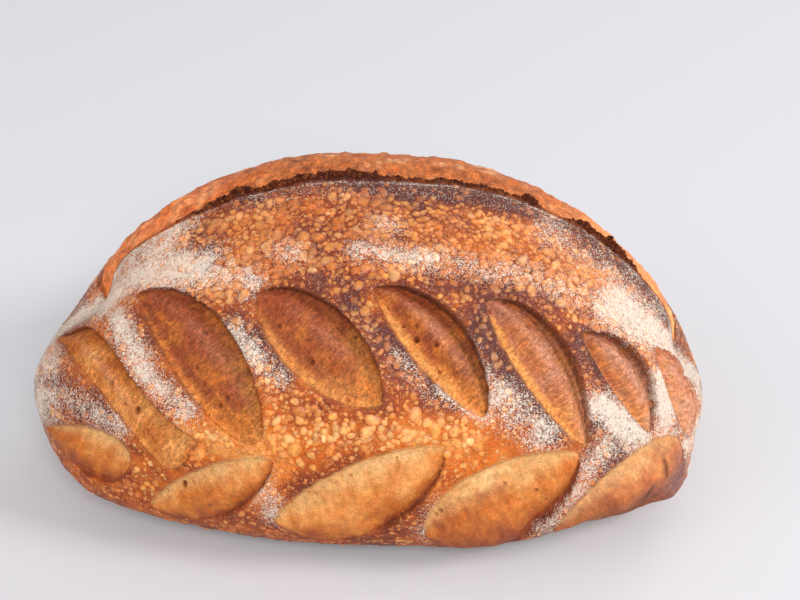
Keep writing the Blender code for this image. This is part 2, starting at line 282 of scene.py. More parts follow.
leafCuts = [
    leafCut((-0.123, 0.033), (-0.062, -0.006), (0.0118, 0.27), (0.0165, 0.90), 0.0028, 0.0008,
            brown=0.40, tan=0.24, glow=0.0, groove=(-0.70, 0.10), bulge=-0.1, sharp=(2.6, 1.7)),
    leafCut((-0.088, 0.047), (-0.039, -0.006), (0.019, 0.42), (0.009, 0.72), 0.0030, 0.0004,
            brown=0.96, tan=0.42, glow=0.15, swell=0.14),
    leafCut((-0.041, 0.046), (0.004, 0.006), (0.016, 0.46), (0.0125, 0.52), 0.0036, 0.0002,
            brown=0.56, tan=0.66, glow=0.66, groove=(-0.60, 0.36), swell=0.14),
    leafCut((0.001, 0.048), (0.041, 0.002), (0.016, 0.47), (0.0065, 0.55), 0.0044, 0.0002,
            brown=0.72, tan=0.52, glow=0.90, groove=(-0.38, 0.46), bulge=0.16, swell=0.36),
    leafCut((0.041, 0.043), (0.078, -0.009), (0.016, 0.42), (0.0055, 0.52), 0.0044, 0.0004,
            brown=0.78, dusty=0.42, glow=1.3, groove=(-0.45, 0.52), bulge=0.08, swell=0.36),
    leafCut((0.076, 0.032), (0.102, -0.004), (0.015, 0.48), (0.0020, 0.50), 0.0034, 0.0006,
            brown=0.96, dusty=0.55, glow=0.9, groove=(-0.66, 1.00), bulge=0.05, swell=0.36),
    leafCut((0.105, 0.028), (0.120, -0.006), (0.012, 0.52), (0.0020, 0.50), 0.0020, 0.0010,
            brown=0.30, dusty=0.80, glow=0.3, groove=(-0.60, 0.20), overhang=0.0, crease=0.4, soft=True),
    leafCut((-0.123, 0.000), (-0.089, -0.015), (0.011, 0.70), (0.008, 0.66), 0.0014, 0.0012,
            brown=0.36, crease=0.25, smeared=0.3, lower=True),
    leafCut((-0.083, -0.030), (-0.035, -0.013), (0.013, 0.52), (0.0065, 0.52), 0.0016, 0.0016,
            brown=0.32, crease=0.7, smeared=0.3, lower=True),
    leafCut((-0.036, -0.035), (0.027, -0.009), (0.0185, 0.50), (0.008, 0.52), 0.0018, 0.0020,
            brown=0.12, crease=0.9, smeared=0.8, lower=True),
    leafCut((0.020, -0.041), (0.075, -0.010), (0.018, 0.56), (0.012, 0.38), 0.0028, 0.0024,
            brown=0.52, smeared=1.0, lower=True),
    leafCut((0.066, -0.039), (0.117, -0.008), (0.012, 0.68), (0.009, 0.76), 0.0018, 0.0034,
            brown=0.60, dusty=0.15, crease=0.8, overhang=0.2, lower=True),
]

crumbPits = [  # x and height in the same plane, and radius, in mm
    (16.8, 29.7, 1.3), (12.0, 34.9, 0.8), (16.8, 34.8, 0.7), (23.9, 27.8, 1.1), (24.8, 17.8, 1.0),
    (-32.6, 34.6, 0.8), (-11.5, 34.5, 0.8), (-20.6, 21.4, 0.9), (-7.6, 7.6, 0.6),
    (41.0, 41.6, 1.1), (43.0, 39.8, 0.9), (67.1, 10.9, 0.6),
    (-94.3, 14.2, 1.0), (-89.2, 17.2, 0.8), (-92.1, 19.6, 0.6), (-88.9, 6.7, 0.8), (-84.9, 5.0, 1.2),
    (-81.1, -2.4, 0.6), (-103.0, 27.0, 0.6), (-97.0, 24.0, 0.6),
    (-54.2, 5.8, 1.0), (-62.7, 19.8, 0.8), (-73.1, 19.5, 0.6), (-42.3, 0.4, 0.8),
    (-69.0, -23.0, 1.2), (-65.4, -22.0, 0.6), (-75.7, -25.2, 0.7),
    (-10.5, -19.2, 0.6), (-7.1, -19.2, 0.7), (-22.0, -25.3, 0.4), (9.6, -12.8, 0.6), (23.9, -33.0, 0.7),
]


def archOf(part, belly):
    power = scoring["arch"]
    return (part / belly) ** (belly * power) * ((1 - part) / (1 - belly)) ** ((1 - belly) * power)


def leafPlace(leaf, x, height):  # where points are along and across a cut, in the plane it is drawn on
    runX, runH = leaf["foot"][0] - leaf["head"][0], leaf["foot"][1] - leaf["head"][1]
    length = math.hypot(runX, runH)
    runX, runH = runX / length, runH / length
    side = -1 if leaf["lower"] else 1
    offX, offH = x - leaf["head"][0], height - leaf["head"][1]
    part = (offX * runX + offH * runH) / length
    held = np.clip(part, 0, 1)
    flap = leaf["flap"][0] * archOf(held, leaf["flap"][1]) ** leaf["sharp"][0]
    near = -leaf["near"][0] * archOf(held, leaf["near"][1]) ** leaf["sharp"][1]
    half = np.maximum((flap - near) / 2, 1e-5)
    return {
        "part": held,
        "across": (side * (offH * runX - offX * runH) - (flap + near) / 2) / half,
        "half": half,
        "beyond": np.abs(part - held) * length,
        "length": length,
        "towardFlap": (-runH * side, runX * side),
        "soft": leaf["soft"],
        "blend": scoring["lowerBlend"] if leaf["lower"] else 1.0,
    }


def surfacePlaces(along, angle):  # everything that a feature needs to know of where a point is
    points, radius = bodyAt(along, angle)
    place = {"points": points, "normals": bodyNormals(along, angle), "angle": angle}
    place["x"] = points[:, 0]
    place["height"] = points[:, 1] * math.sin(scoring["tilt"]) + points[:, 2] * math.cos(scoring["tilt"])
    turned = np.where(angle < -math.pi / 2, angle + 2 * math.pi, angle)
    place["behind"] = (turned - slashAngle(points[:, 0])) * radius
    facing = np.cos(angle - scoring["facing"]) > 0.2
    place["flank"] = smoothStep(points[:, 2], *scoring["flankFoot"]) * facing
    ahead = (1 - smoothStep(place["behind"], 0, 16 * mm)) * (facing | (angle > 1)) * (points[:, 2] > 1 * mm)
    place["ahead"] = ahead * (1 - smoothStep(angle, math.radians(100), math.radians(160)))
    place["pastTip"] = np.abs(slashPlace(points[:, 0])[0]) > 1
    place["leaves"] = [leafPlace(leaf, place["x"], place["height"]) for leaf in leafCuts]
    return place


def leafOpening(leaf, at):  # how far the crease has opened there
    if not leaf["lower"]:
        return np.ones(len(at["part"]))
    start = scoring["lowerCreaseStart"]
    return smoothStep(at["part"], start, start + scoring["lowerCreaseFull"])


def insideLeaf(at):  # 1 within a cut, 0 outside, with a short turn between
    side = (1 - np.abs(at["across"])) * at["half"]
    lip = scoring["lipWidth"]
    far = np.where((at["across"] > 0) & (not at["soft"]), lip / 2, scoring["nearBlend"] * at["blend"])
    return smoothStep((side + lip / 2) / (far + lip / 2), 0, 1) * (at["beyond"] <= 0)


def tintedLeaf(at, place):  # the same for colour: ragged, and soft along the near side
    side = (1 - np.abs(at["across"])) * at["half"] + 0.5 * mm * softNoise(place["points"], 2.2 * mm, 63)
    near = smoothStep(side, -0.5 * mm, 1.7 * mm)
    flap = smoothStep(side, -0.35 * mm, 0.35 * mm)
    inside = np.where(at["across"] > 0, flap, near) * (at["beyond"] <= 0)
    return inside * place["flank"] * smoothStep(at["half"], 0.3 * mm, 1.2 * mm)


def pitsAt(place):  # 1 at a pit's middle, and how near the closest one is
    deep, closest = np.zeros(len(place["x"])), np.full(len(place["x"]), 1.0)
    ragged = 1 + 0.35 * softNoise(place["points"], 1.5 * mm, 65)
    for x, height, radius in crumbPits:
        away = np.hypot(1.15 * (place["x"] - x * mm), 0.85 * (place["height"] - height * mm)) * ragged
        bowl = 1 - smoothStep(away, 0.3 * radius * mm, 1.25 * radius * mm)
        deep = np.maximum(deep, bowl * min(radius, 1.2))
        closest = np.minimum(closest, away - 1.3 * radius * mm)
    inFront = (place["behind"] < 0) & (place["flank"] > 0)
    return deep * inFront, np.where(inFront, closest, 1.0)


def alongSurface(direction, normals):  # what is left of a direction once it follows the surface
    return direction - normals * np.sum(direction * normals, axis=1)[:, None]


def leafShift(leaf, at, place):  # the move of every point for one cut, as a vector
    held = np.clip(at["across"], -1, 1)
    fade = np.sqrt(np.clip(4 * at["part"] * (1 - at["part"]), 0, 1))
    opened = leafOpening(leaf, at)
    inside = insideLeaf(at)
    onFlap = at["across"] > 0
    crease = leaf["depth"] * leaf["crease"] * hill(held, *scoring["crease"]) * opened
    trough = leaf["groove"][1] * leaf["depth"] * hill(held, leaf["groove"][0], scoring["grooveSpread"])
    ridge = leaf["swell"] * leaf["depth"] * hill(held, leaf["bulge"], scoring["swellSpread"])
    drop = scoring["nearDrop"] * np.where(onFlap, opened, 1)
    floor = leaf["puff"] * (1 - held**2) + ridge - drop - crease - trough
    past = np.maximum(np.abs(at["across"]) - 1, 0) * at["half"]
    rise = np.where(onFlap, scoring["flapRise"] * opened, scoring["nearRise"])
    lift = rise * np.exp(-((past / scoring["flapReach"]) ** 2))
    out = fade * (inside * floor + (1 - inside) * lift)
    lean = -scoring["overhang"] * (1 - inside) * np.exp(-((past / scoring["overhangReach"]) ** 2))
    lean = lean * fade * opened * onFlap * (at["beyond"] <= 0) * leaf["overhang"]
    flapX, flapHeight = at["towardFlap"]
    towardFlap = (flapX, flapHeight * math.sin(scoring["tilt"]), flapHeight * math.cos(scoring["tilt"]))
    sideways = alongSurface(np.tile(towardFlap, (len(out), 1)), place["normals"])
    return (place["normals"] * out[:, None] + sideways * lean[:, None]) * place["flank"][:, None]


def slashShift(place):  # the move of every point for the slash, and which points are ear and bloom
    x, behind = place["x"], place["behind"]
    strength = np.sqrt(slashPlace(x)[1])
    width = np.maximum(slash["bloomWidth"] * strength, 1e-6)
    torn = tornAmount(x)
    notch, size = slash["raggedness"]
    jagged = layeredNoise(place["points"], size, 3, 5)
    onTop = smoothStep(place["angle"], *slash["earSides"])
    thickness = slash["earThickness"] * (0.75 + 0.70 * torn) + notch * jagged * torn
    ear = slash["earRise"] * np.exp(-((np.minimum(behind, 0) / slash["earReach"]) ** 2))
    lip = 1 - smoothStep(behind, thickness - 0.7 * mm, thickness + 0.5 * mm)
    torn = torn * (0.75 + 0.7 * jagged)
    lipRise = slash["earLip"] * torn * smoothStep(behind, -0.3 * mm, 1.6 * mm)
    trench = -slash["trenchDepth"] * np.exp(-np.maximum(behind - thickness, 0) / slash["trenchReach"])
    inBloom = (1 - lip) * (behind < width)
    crack = -slash["crackDepth"] * hill(behind, width, slash["crackWidth"])
    crown = slash["bloomRise"] * np.sin(np.clip(behind / width, 0, 1) * math.pi)
    out = strength * ((ear + lipRise) * lip + trench * inBloom + crown + crack)
    out = out * onTop
    back = alongSurface(np.tile((0.0, 1.0, 0.0), (len(x), 1)), place["normals"])
    lean = slash["earLean"] * strength * lip * smoothStep(behind, -6 * mm, 1.5 * mm) * onTop
    return place["normals"] * out[:, None] + back * lean[:, None], lip, inBloom * (strength > 0)


def bodyShift(place):  # swellings, and the notches at the slash's two tips
    points = place["points"]
    outward = place["normals"] * (1, 1, 0)
    outward = outward / np.maximum(np.linalg.norm(outward, axis=1), 0.3)[:, None]
    push = np.zeros(len(points))
    for spot, reach, amount in loafForm["swellings"]:
        push += amount * np.exp(-np.sum((points - spot) ** 2, axis=1) / reach**2)
    sink = np.zeros(len(points))
    for end in (slash["start"], slash["end"]):
        along = np.sign(end) * (abs(end) / (loafForm["length"] / 2)) ** (loafForm["planPower"] / 2)
        tip = bodyAt(np.array([along]), np.array([slashAngle(end)]))[0][0]
        sink -= slash["notchDepth"] * np.exp(-np.sum((points - tip) ** 2, axis=1) / slash["notchReach"] ** 2)
    return outward * push[:, None] + place["normals"] * sink[:, None]


# the crust: a cube, divided, then drawn out to the loaf's form

crust = {
    "grid": 58,
    "crowding": 0.40,
    "crowdedAngle": math.radians(52),
    "endCrowding": 0.10,
    "slashPinch": (0.42, 0.07),  # how far the rows close up behind the ear, and over what angle
    "seen": (math.radians(58), math.radians(82)),  # the side with finer faces: its middle and half width
    "edgeBand": 1.3 * mm,
    "longestAtEdge": (1.1 * mm, 0.9 * mm),
    "pitBands": (0.9 * mm, 0.5 * mm, 0.25 * mm),
    "cutPits": 1.3 * mm,
    "rolling": (0.7 * mm, 38 * mm),  # here and below: how high the relief is, and its size
    "rollingFine": (0.35 * mm, 17 * mm),
    "lumps": (0.22 * mm, 6 * mm),
    "grainRelief": (0.10 * mm, 2.6 * mm),
    "cutRelief": (0.30 * mm, 5 * mm),
    "bloomRelief": (0.62 * mm, 4 * mm),
    "bloomFolds": (0.8, 5 * mm),  # how high as a part of the bloom's relief
    "bloomPits": (1.3 * mm, 9 * mm),
    "earRelief": (0.9 * mm, 3.2 * mm),
}


def clearSelection():
    if bpy.context.object and bpy.context.object.mode != "OBJECT":
        bpy.ops.object.mode_set(mode="OBJECT")
    bpy.ops.object.select_all(action="DESELECT")


def editAll():
    bpy.ops.object.mode_set(mode="EDIT")
    bpy.ops.mesh.select_all(action="SELECT")


def readValues(items, name, width, kind=float):  # one property of every item, as rows
    values = np.empty(len(items) * width, dtype=kind)
    items.foreach_get(name, values)
    return values.reshape(-1, width)


def readPoints(mesh):
    return readValues(mesh.vertices, "co", 3)


def writePoints(mesh, points):
    mesh.vertices.foreach_set("co", np.asarray(points, dtype=np.float32).ravel())
    mesh.update()


def gridCube(name, cuts):
    clearSelection()
    bpy.ops.mesh.primitive_cube_add(size=2)
    cube = bpy.context.object
    cube.name = name
    editAll()
    bpy.ops.mesh.subdivide(number_cuts=cuts - 1)
    bpy.ops.object.mode_set(mode="OBJECT")
    return cube


def divideWhere(piece, chosen):  # splits every edge that has a chosen end
    mesh = piece.data
    ends = readValues(mesh.edges, "vertices", 2, np.int32)
    edges = chosen[ends].any(axis=1)
    verts = np.zeros(len(mesh.vertices), dtype=bool)
    verts[ends[edges].ravel()] = True
    bpy.context.tool_settings.mesh_select_mode = (False, True, False)
    mesh.polygons.foreach_set("select", np.zeros(len(mesh.polygons), dtype=bool))
    mesh.edges.foreach_set("select", edges)
    mesh.vertices.foreach_set("select", verts)
    bpy.ops.object.mode_set(mode="EDIT")
    bpy.ops.mesh.subdivide(number_cuts=1)
    bpy.ops.object.mode_set(mode="OBJECT")


def directionsOf(corners):  # where on the loaf each point of the cube goes
    spread = np.tan(corners * math.pi / 4)
    spread = spread / np.linalg.norm(spread, axis=1)[:, None]
    along = spread[:, 0] + crust["endCrowding"] * spread[:, 0] * (1 - spread[:, 0] ** 2)
    turned = np.arctan2(spread[:, 2], -spread[:, 1])
    top = math.pi / 2
    lag = np.sin(turned - crust["crowdedAngle"]) - math.sin(top - crust["crowdedAngle"])
    angle = turned - crust["crowding"] * lag
    along = np.clip(along, -1, 1)
    x = loafForm["length"] / 2 * np.sign(along) * np.abs(along) ** (2 / loafForm["planPower"])
    off = angle - top
    amount, reach = crust["slashPinch"]
    pinch = amount * off * np.exp(-((off / reach) ** 2)) * (off > 0)
    return along, angle + (slashAngle(x) - top) * np.exp(-((off / 0.5) ** 2)) - pinch


def placesOn(piece):
    return surfacePlaces(*directionsOf(readPoints(piece.data)))


def surfaceRelief(place, inCut, inBloom, onEar, skin):  # the small ups and downs of each region
    points = place["points"]

    def noise(name, seed):
        height, size = crust[name]
        return height * softNoise(points, size, seed)

    relief = noise("rolling", 1) + noise("rollingFine", 2)
    relief += skin * (noise("lumps", 3) + noise("grainRelief", 4))
    height, size = crust["cutRelief"]
    relief += inCut * height * layeredNoise(points * (1, 0.7, 0.7), size, 3, 8)
    relief -= inCut * crust["cutPits"] * pitsAt(place)[0]
    strands = points * (1, 0.6, 0.8)
    height, size = crust["bloomRelief"]
    foldHeight, foldSize = crust["bloomFolds"]
    wrinkle = layeredNoise(strands, size, 3, 12) - foldHeight * np.abs(softNoise(strands, foldSize, 14))
    relief += inBloom * height * wrinkle
    height, size = crust["bloomPits"]
    relief -= inBloom * height * pitNoise(strands, size, 31) * (softNoise(points, 16 * mm, 33) > 0.1)
    height, size = crust["earRelief"]
    return relief + onEar * tornAmount(place["x"]) * height * layeredNoise(points, size, 3, 15)


def shapedPoints(place):  # the finished surface, and which part of it each point belongs to
    points = place["points"]
    move = bodyShift(place)
    inCut = np.zeros(len(points))
    for leaf, at in zip(leafCuts, place["leaves"]):
        move = move + leafShift(leaf, at, place)
        wide = smoothStep(at["half"], 0.4 * mm, 1.5 * mm)
        inCut = np.maximum(inCut, insideLeaf(at) * place["flank"] * wide)
    slashMove, lip, inBloom = slashShift(place)
    move = move + slashMove
    onEar = lip * smoothStep(place["behind"], -0.4 * mm, 0.6 * mm) * (slashPlace(place["x"])[1] > 0)
    onEar = onEar * smoothStep(place["angle"], *slash["earSides"])
    skin = (1 - inCut) * (1 - inBloom) * (1 - onEar)
    offBase = smoothStep(points[:, 2], 0.5 * mm, 6 * mm)
    relief = surfaceRelief(place, inCut, inBloom, onEar, skin) * offBase
    shaped = points + (move + place["normals"] * relief[:, None])
    shaped[:, 2] = np.maximum(shaped[:, 2], 0)
    return shaped, {"inCut": inCut, "inBloom": inBloom, "onEar": onEar, "skin": skin}


def centringShift():  # the smooth form's middle, which the solid has at its origin
    corners = np.stack(np.meshgrid(*[np.linspace(-1, 1, 41)] * 3, indexing="ij"), axis=-1).reshape(-1, 3)
    corners = corners[np.abs(corners).max(axis=1) > 0.999]
    place = surfacePlaces(*directionsOf(corners))
    points = shapedPoints(place)[0]
    middle = (points.max(axis=0) + points.min(axis=0)) / 2
    target = (np.array(loafLow) + np.array(loafHigh)) / 2
    return np.array([target[0] - middle[0], target[1] - middle[1], loafLow[2]])


# colours: as the crust looks in soft light, from 0 to 255, and how bright the light makes them

colours = {
    "skinGold": (240, 166, 92),
    "skinOrange": (217, 114, 48),
    "skinRed": (150, 75, 50),
    "skinPurple": (102, 58, 54),
    "blisterGold": (246, 168, 86),
    "blisterPale": (255, 212, 150),
    "bloomOrange": (216, 125, 70),
    "bloomPale": (252, 184, 132),
    "bloomBrown": (160, 86, 48),
    "cutGold": (240, 164, 96),
    "cutOrange": (212, 126, 64),
    "cutBrown": (163, 87, 60),
    "cutOlive": (228, 174, 114),
    "cutDusty": (240, 176, 146),
    "charBrown": (104, 58, 38),
    "charBlack": (68, 38, 28),
    "charRed": (144, 86, 56),
    "baseBrown": (150, 88, 56),
    "tipGrey": (170, 132, 126),
    "flour": (252, 236, 218),
    "lightGain": 1.26,
    "glint": 0.022,  # the part of the brightness that is gloss
}


def paint(name):  # a colour's linear albedo
    part = np.array(colours[name]) / 255
    linear = np.where(part <= 0.04045, part / 12.92, ((part + 0.055) / 1.055) ** 2.4)
    return np.clip((linear - colours["glint"]) / colours["lightGain"], 0.003, 0.9)


def blendTo(tint, colour, amount):
    amount = np.clip(np.broadcast_to(amount, len(tint)), 0, 1)
    return tint + (colour - tint) * amount[:, None]


def ramp(amount, *names):  # a colour for each amount from 0 to 1
    stops = np.linspace(0, 1, len(names))
    table = np.array([paint(name) for name in names])
    return np.stack([np.interp(amount, stops, table[:, k]) for k in range(3)], axis=1)


def streak(place, start, end, reach):  # 1 along a line in the scoring plane, fading away from it
    runX, runH = end[0] - start[0], end[1] - start[1]
    offX, offH = place["x"] - start[0] * mm, place["height"] - start[1] * mm
    runX, runH = runX * mm, runH * mm
    part = np.clip((offX * runX + offH * runH) / (runX**2 + runH**2), 0, 1)
    away = np.hypot(offX - part * runX, offH - part * runH)
    return np.exp(-((away / (reach * mm)) ** 2)) * place["ahead"]


flourStreaks = [  # start and end in mm, reach in mm, how thick
    ((-106, 44), (-88, 56), 7, 0.84),
    ((-88, 56), (-62, 58), 8, 0.86),
    ((-86, 64), (-76, 72), 6, 0.85),
    ((-62, 56), (-42, 51), 5, 0.55),
    ((-127, 34), (-123, 8), 9, 0.80),
    ((-95, 40), (-80, 17), 5, 0.68),
    ((-80, 17), (-66, 4), 4.5, 0.60),
    ((-49, 33), (-32, 16), 4, 0.55),
    ((-34, 63), (-27, 62), 5, 0.45),
    ((-4, 63), (22, 58), 4.5, 0.70),
    ((26, 58), (62, 52), 5, 0.40),
    ((62, 52), (90, 44), 6, 0.40),
    ((90, 44), (130, 18), 9, 1.02),
    ((66, 72), (98, 52), 7, 0.33),
    ((2, 74), (10, 72), 4, 0.35),
    ((46, 9), (62, -3), 7, 0.68),
    ((34, 30), (44, 12), 3, 0.45),
    ((84, 7), (98, -6), 6, 0.95),
    ((105, 17), (110, -3), 5, 1.05),
    ((-41, -19), (-35, -32), 4.5, 0.65),
    ((64, -37), (87, -8), 5.5, 0.50),
    ((20, -39), (26, -30), 4, 0.45),
    ((-118, 14), (-92, 0), 6, 0.42),
    ((128, 18), (122, -6), 7, 0.9),
    ((24, 12), (42, 2), 3, 0.6),
    ((10, 24), (22, 8), 3, 0.3),
]


bakedStreaks = [  # start and end in mm, reach in mm, how much darker
    ((-66, -4), (36, -5), 8, -0.30),
    ((-100, -8), (-66, -6), 8, -0.16),
    ((-62, -10), (-24, -14), 6, -0.26),
    ((24, -14), (60, -14), 6, -0.20),
    ((10, 72), (56, 66), 8, -0.14),
    ((-60, 62), (10, 78), 14, 0.12),
    ((-30, 52), (60, 50), 7, 0.04),
    ((-62, -26), (-40, -20), 6, -0.22),
    ((-40, -22), (-30, -16), 5, -0.22),
    ((-48, 36), (-30, 18), 5, 0.36),
    ((-6, 42), (28, 8), 5, 0.38),
    ((40, 38), (66, -2), 6, 0.55),
    ((76, 32), (94, 0), 8, 0.36),
    ((78, 0), (92, -16), 8, 0.30),
    ((30, 50), (96, 38), 5, 0.18),
    ((-116, 16), (-96, 2), 8, 0.22),
    ((-104, 46), (-72, 58), 9, -0.28),
    ((-124, 34), (-108, 42), 6, 0.20),
    ((-36, -8), (-24, -24), 4, 0.14),
]


skinLook = {
    "bake": 0.60,  # how dark the skin is on the whole, from 0 gold to 1 dark purple
    "patches": (0.15, 21 * mm),  # how much that varies, and the patches' size
    "mottling": (0.17, 6 * mm),
    "earBand": (0.32, 5),  # how much darker the band below the ear is, and its width in mm
    "earBandRight": (0.12, 2.5),  # and how much more on the right
    "baseRim": (0.32, 4, 16),  # how much darker the foot is, and the heights in mm where that fades
}


def skinBake(place):
    x, behind = place["x"] / mm, place["behind"] / mm
    points = place["points"]
    bake = np.full(len(x), skinLook["bake"])
    amount, size = skinLook["patches"]
    fineAmount, fineSize = skinLook["mottling"]
    bake = bake + amount * softNoise(points, size, 41) + fineAmount * layeredNoise(points, fineSize, 2, 42)
    for start, end, reach, amount in bakedStreaks:
        bake = bake + amount * streak(place, start, end, reach)
    right = smoothStep(x, -5, 25)
    dark, wide = [both + more * right for both, more in zip(skinLook["earBand"], skinLook["earBandRight"])]
    onSkin = (behind < 0) | place["pastTip"]
    bake = bake + dark * hill(behind, -1, wide) * smoothStep(x, -70, -40) * onSkin
    amount, low, high = skinLook["baseRim"]
    bake = bake + amount * (1 - smoothStep(points[:, 2] / mm, low, high))
    return np.clip(bake, 0, 1)


def flourCover(place):
    x, behind = place["x"] / mm, place["behind"] / mm
    points = place["points"]
    cover = np.zeros(len(x))
    for start, end, reach, amount in flourStreaks:
        cover = np.maximum(cover, amount * streak(place, start, end, reach))
    edge = hill(behind, -0.7, 0.6) * 0.34 + hill(behind, -4, 4) * 0.12
    cover = np.maximum(cover, edge * smoothStep(x, -66, -48) * (behind < 0.4))
    onSkin = (behind < 0.4) | place["pastTip"]
    leftEnd = 0.9 * hill(behind, 0, 9) * (1 - smoothStep(x, -76, -58)) * onSkin
    cover = np.maximum(cover, leftEnd)
    cover = np.maximum(cover, 0.035 * (behind < 0) * smoothStep(place["height"] / mm, 4, 20))
    back = 0.22 + 0.50 * softNoise(points, 26 * mm, 51) + 0.24 * softNoise(points, 9 * mm, 52)
    back = np.clip(back, 0, 0.95) * smoothStep(points[:, 2] / mm, 1, 18)
    cover = cover + (back - cover) * smoothStep(behind, 0, 16)
    patchy = 1 + 0.45 * softNoise(points, 7 * mm, 53) + 0.25 * softNoise(points, 2.8 * mm, 54)
    return np.clip(cover * patchy, 0, 1)


def lowerCutTint(leaf, part, across, drawn, rough, height):  # gold, with olive above and brown below
    # browner toward the flap side: partly its bake, partly painted shade from the flap
    brown = leaf["brown"] + 0.40 * smoothStep(across, 0.1, 1) + 0.12 * (1 - part) + 1.9 * rough
    brown = brown + 0.50 * (1 - smoothStep(height, 2 * mm, 13 * mm))
    # painted shade: darker still in the crease under the flap
    brown = brown + 0.45 * hill(across, 0.98, 0.13) * smoothStep(part, 0.3, 0.6)
    tint = ramp(np.clip(brown, 0, 1), "cutGold", "cutOrange", "cutBrown")
    tint = blendTo(tint, paint("cutOlive"), 0.95 * (1 - smoothStep(across + rough, -0.80, -0.05)))
    smear = layeredNoise(drawn * (0.6, 1, 1), 4 * mm, 3, 64)
    smear = smear * hill(across, -0.72, 0.26) * smoothStep(part, 0.15, 0.4)
    smear = leaf["smeared"] * np.clip(1.3 * smear, 0, 0.75)
    tint = blendTo(tint, paint("cutOlive") * (1.22, 1.30, 1.45), smear)
    return blendTo(tint, paint("cutDusty"), leaf["dusty"])


def upperCutTint(leaf, part, across, rough):  # brown in its upper middle, golden along its near side
    middle = hill(across, 0.28, 0.50) * (1 - smoothStep(part, 0.50, 1.0))
    brown = leaf["tan"] + (leaf["brown"] - 0.24) * middle + 0.16 * hill(part, 0.05, 0.22) + 1.15 * rough
    # painted shade: browner toward the flap side, as the shade the flap casts into the cut
    brown = brown + 0.32 * hill(across, 0.95, 0.22) * (1 - 0.8 * part)
    furrow = hill(across, leaf["groove"][0], 0.17) * (1 - smoothStep(part, 0.55, 0.85))
    brown = brown + 0.85 * furrow * leaf["groove"][1] * (1 + 1.6 * rough)
    tint = ramp(np.clip(brown, 0, 1), "cutGold", "cutOrange", "cutBrown")
    olive = 0.30 * hill(across, 0.58, 0.34) * smoothStep(part, 0.30, 0.70)
    tint = blendTo(tint, paint("cutOlive") * 0.62, olive)
    crown = leaf["swell"] * hill(across, leaf["bulge"] + 0.05, 0.22) * hill(part, 0.42, 0.28)
    dusty = leaf["dusty"] * (0.3 + 0.9 * part + 1.5 * rough)
    tint = blendTo(tint, paint("cutDusty") * 0.92, 1.0 * crown + dusty)
    # the golden near-side strip: partly less-baked dough, partly painted light
    wide = 0.30 + 0.35 * smoothStep(part, 0.45, 0.9)
    edge = leaf["glow"] * np.exp(-(np.maximum(across + 0.85, 0) / wide) ** 2) * smoothStep(part, 0.02, 0.15)
    return blendTo(tint, paint("cutGold") * 1.06, edge * (1 - 0.7 * furrow))


def cutTint(leaf, at, points):
    part, across = at["part"], np.clip(at["across"], -1, 1)
    drawn = np.stack([part * at["length"], across * at["half"], np.full(len(part), leaf["head"][0])], axis=1)
    rough = 0.17 * softNoise(points, 9 * mm, 61) + 0.24 * layeredNoise(drawn * (1, 0.55, 1), 3.6 * mm, 3, 62)
    if leaf["lower"]:
        return lowerCutTint(leaf, part, across, drawn, 0.55 * rough, points[:, 2])
    return upperCutTint(leaf, part, across, rough)


bloomLook = {
    "middle": 0.42,  # how brown it is on the whole, from 0 pale to 1 brown
    "patches": (0.26, 9 * mm),  # how much that varies, and the patches' size
    "strands": (0.36, 3.4 * mm),
    "leftEnd": ((0.20, -0.12, -0.34), (-85, -30)),  # the change in colour there, and where it fades, in mm
    "rightEnd": ((0.30, 0.16, 0.04), (55, 95)),
}


def bloomTint(points, x, behind):
    strands = points * (1, 0.5, 0.7)
    amount, size = bloomLook["patches"]
    fineAmount, fineSize = bloomLook["strands"]
    shade = bloomLook["middle"] + amount * softNoise(strands, size, 71)
    shade = shade + fineAmount * layeredNoise(strands, fineSize, 3, 72)
    # painted light: paler toward the left end, brightening the part of the bloom that the lamps leave in
    # shade
    shade = np.clip(shade - 0.12 * (1 - smoothStep(x, -85, -45)), 0, 1)
    tint = ramp(shade, "bloomPale", "bloomOrange", "bloomOrange", "bloomBrown")
    ends = smoothStep(x, 60, 105) + 0.6 * (1 - smoothStep(x, -100, -62))
    tint = blendTo(tint, 0.5 * (paint("bloomPale") + paint("cutGold")) * 1.15, 0.55 * ends)
    change, fade = bloomLook["leftEnd"]
    tint = tint * (1 + (np.array(change) * (1 - smoothStep(x, *fade))[:, None]))
    change, fade = bloomLook["rightEnd"]
    tint = tint * (1 + (np.array(change) * smoothStep(x, *fade)[:, None]))
    width = slash["bloomWidth"] * np.sqrt(slashPlace(x * mm)[1]) / mm
    tint = blendTo(tint, paint("bloomBrown"), 0.7 * hill(behind, width, 3.0))
    # painted shadow: a darker band just behind the ear, where the ear shades the trench
    return blendTo(tint, paint("bloomBrown") * 0.7, 0.7 * hill(behind, 3.5, 2.5) * smoothStep(x, -80, -50))


loafEnd = {
    "greyTip": ((0.1150, -0.060, 0.024), 8.5 * mm),  # its middle and reach
    "redSide": ((78, -34), (108, -30), 5),  # here and below: start, end and reach in mm
    "foldShadows": (((103.6, -22.5), (102.6, -28), 1.1), ((108, -13), (109, -18), 1.0)),
}


def loafEndTint(tint, place, inCut):  # the last lower cut: a grey tip, a red side and two painted fold shadows
    points = place["points"]
    middle, reach = loafEnd["greyTip"]
    tip = np.exp(-np.sum(((points - middle) * (1, 1, 0.75)) ** 2, axis=1) / reach**2)
    grey = paint("tipGrey") * (0.8 + 0.3 * softNoise(points, 4 * mm, 76))[:, None]
    tint = blendTo(tint, grey, 0.85 * tip)
    side = streak(place, *loafEnd["redSide"]) * inCut
    tint = blendTo(tint, paint("charRed") * 0.9, 0.7 * side * (0.8 + 0.5 * softNoise(points, 5 * mm, 77)))
    # painted shade: two dark lines standing for the shade in folds of the cut
    foldShadows = np.maximum(*[streak(place, *fold) for fold in loafEnd["foldShadows"]])
    return blendTo(tint, paint("charBrown") * 0.8, 0.8 * foldShadows * inCut)


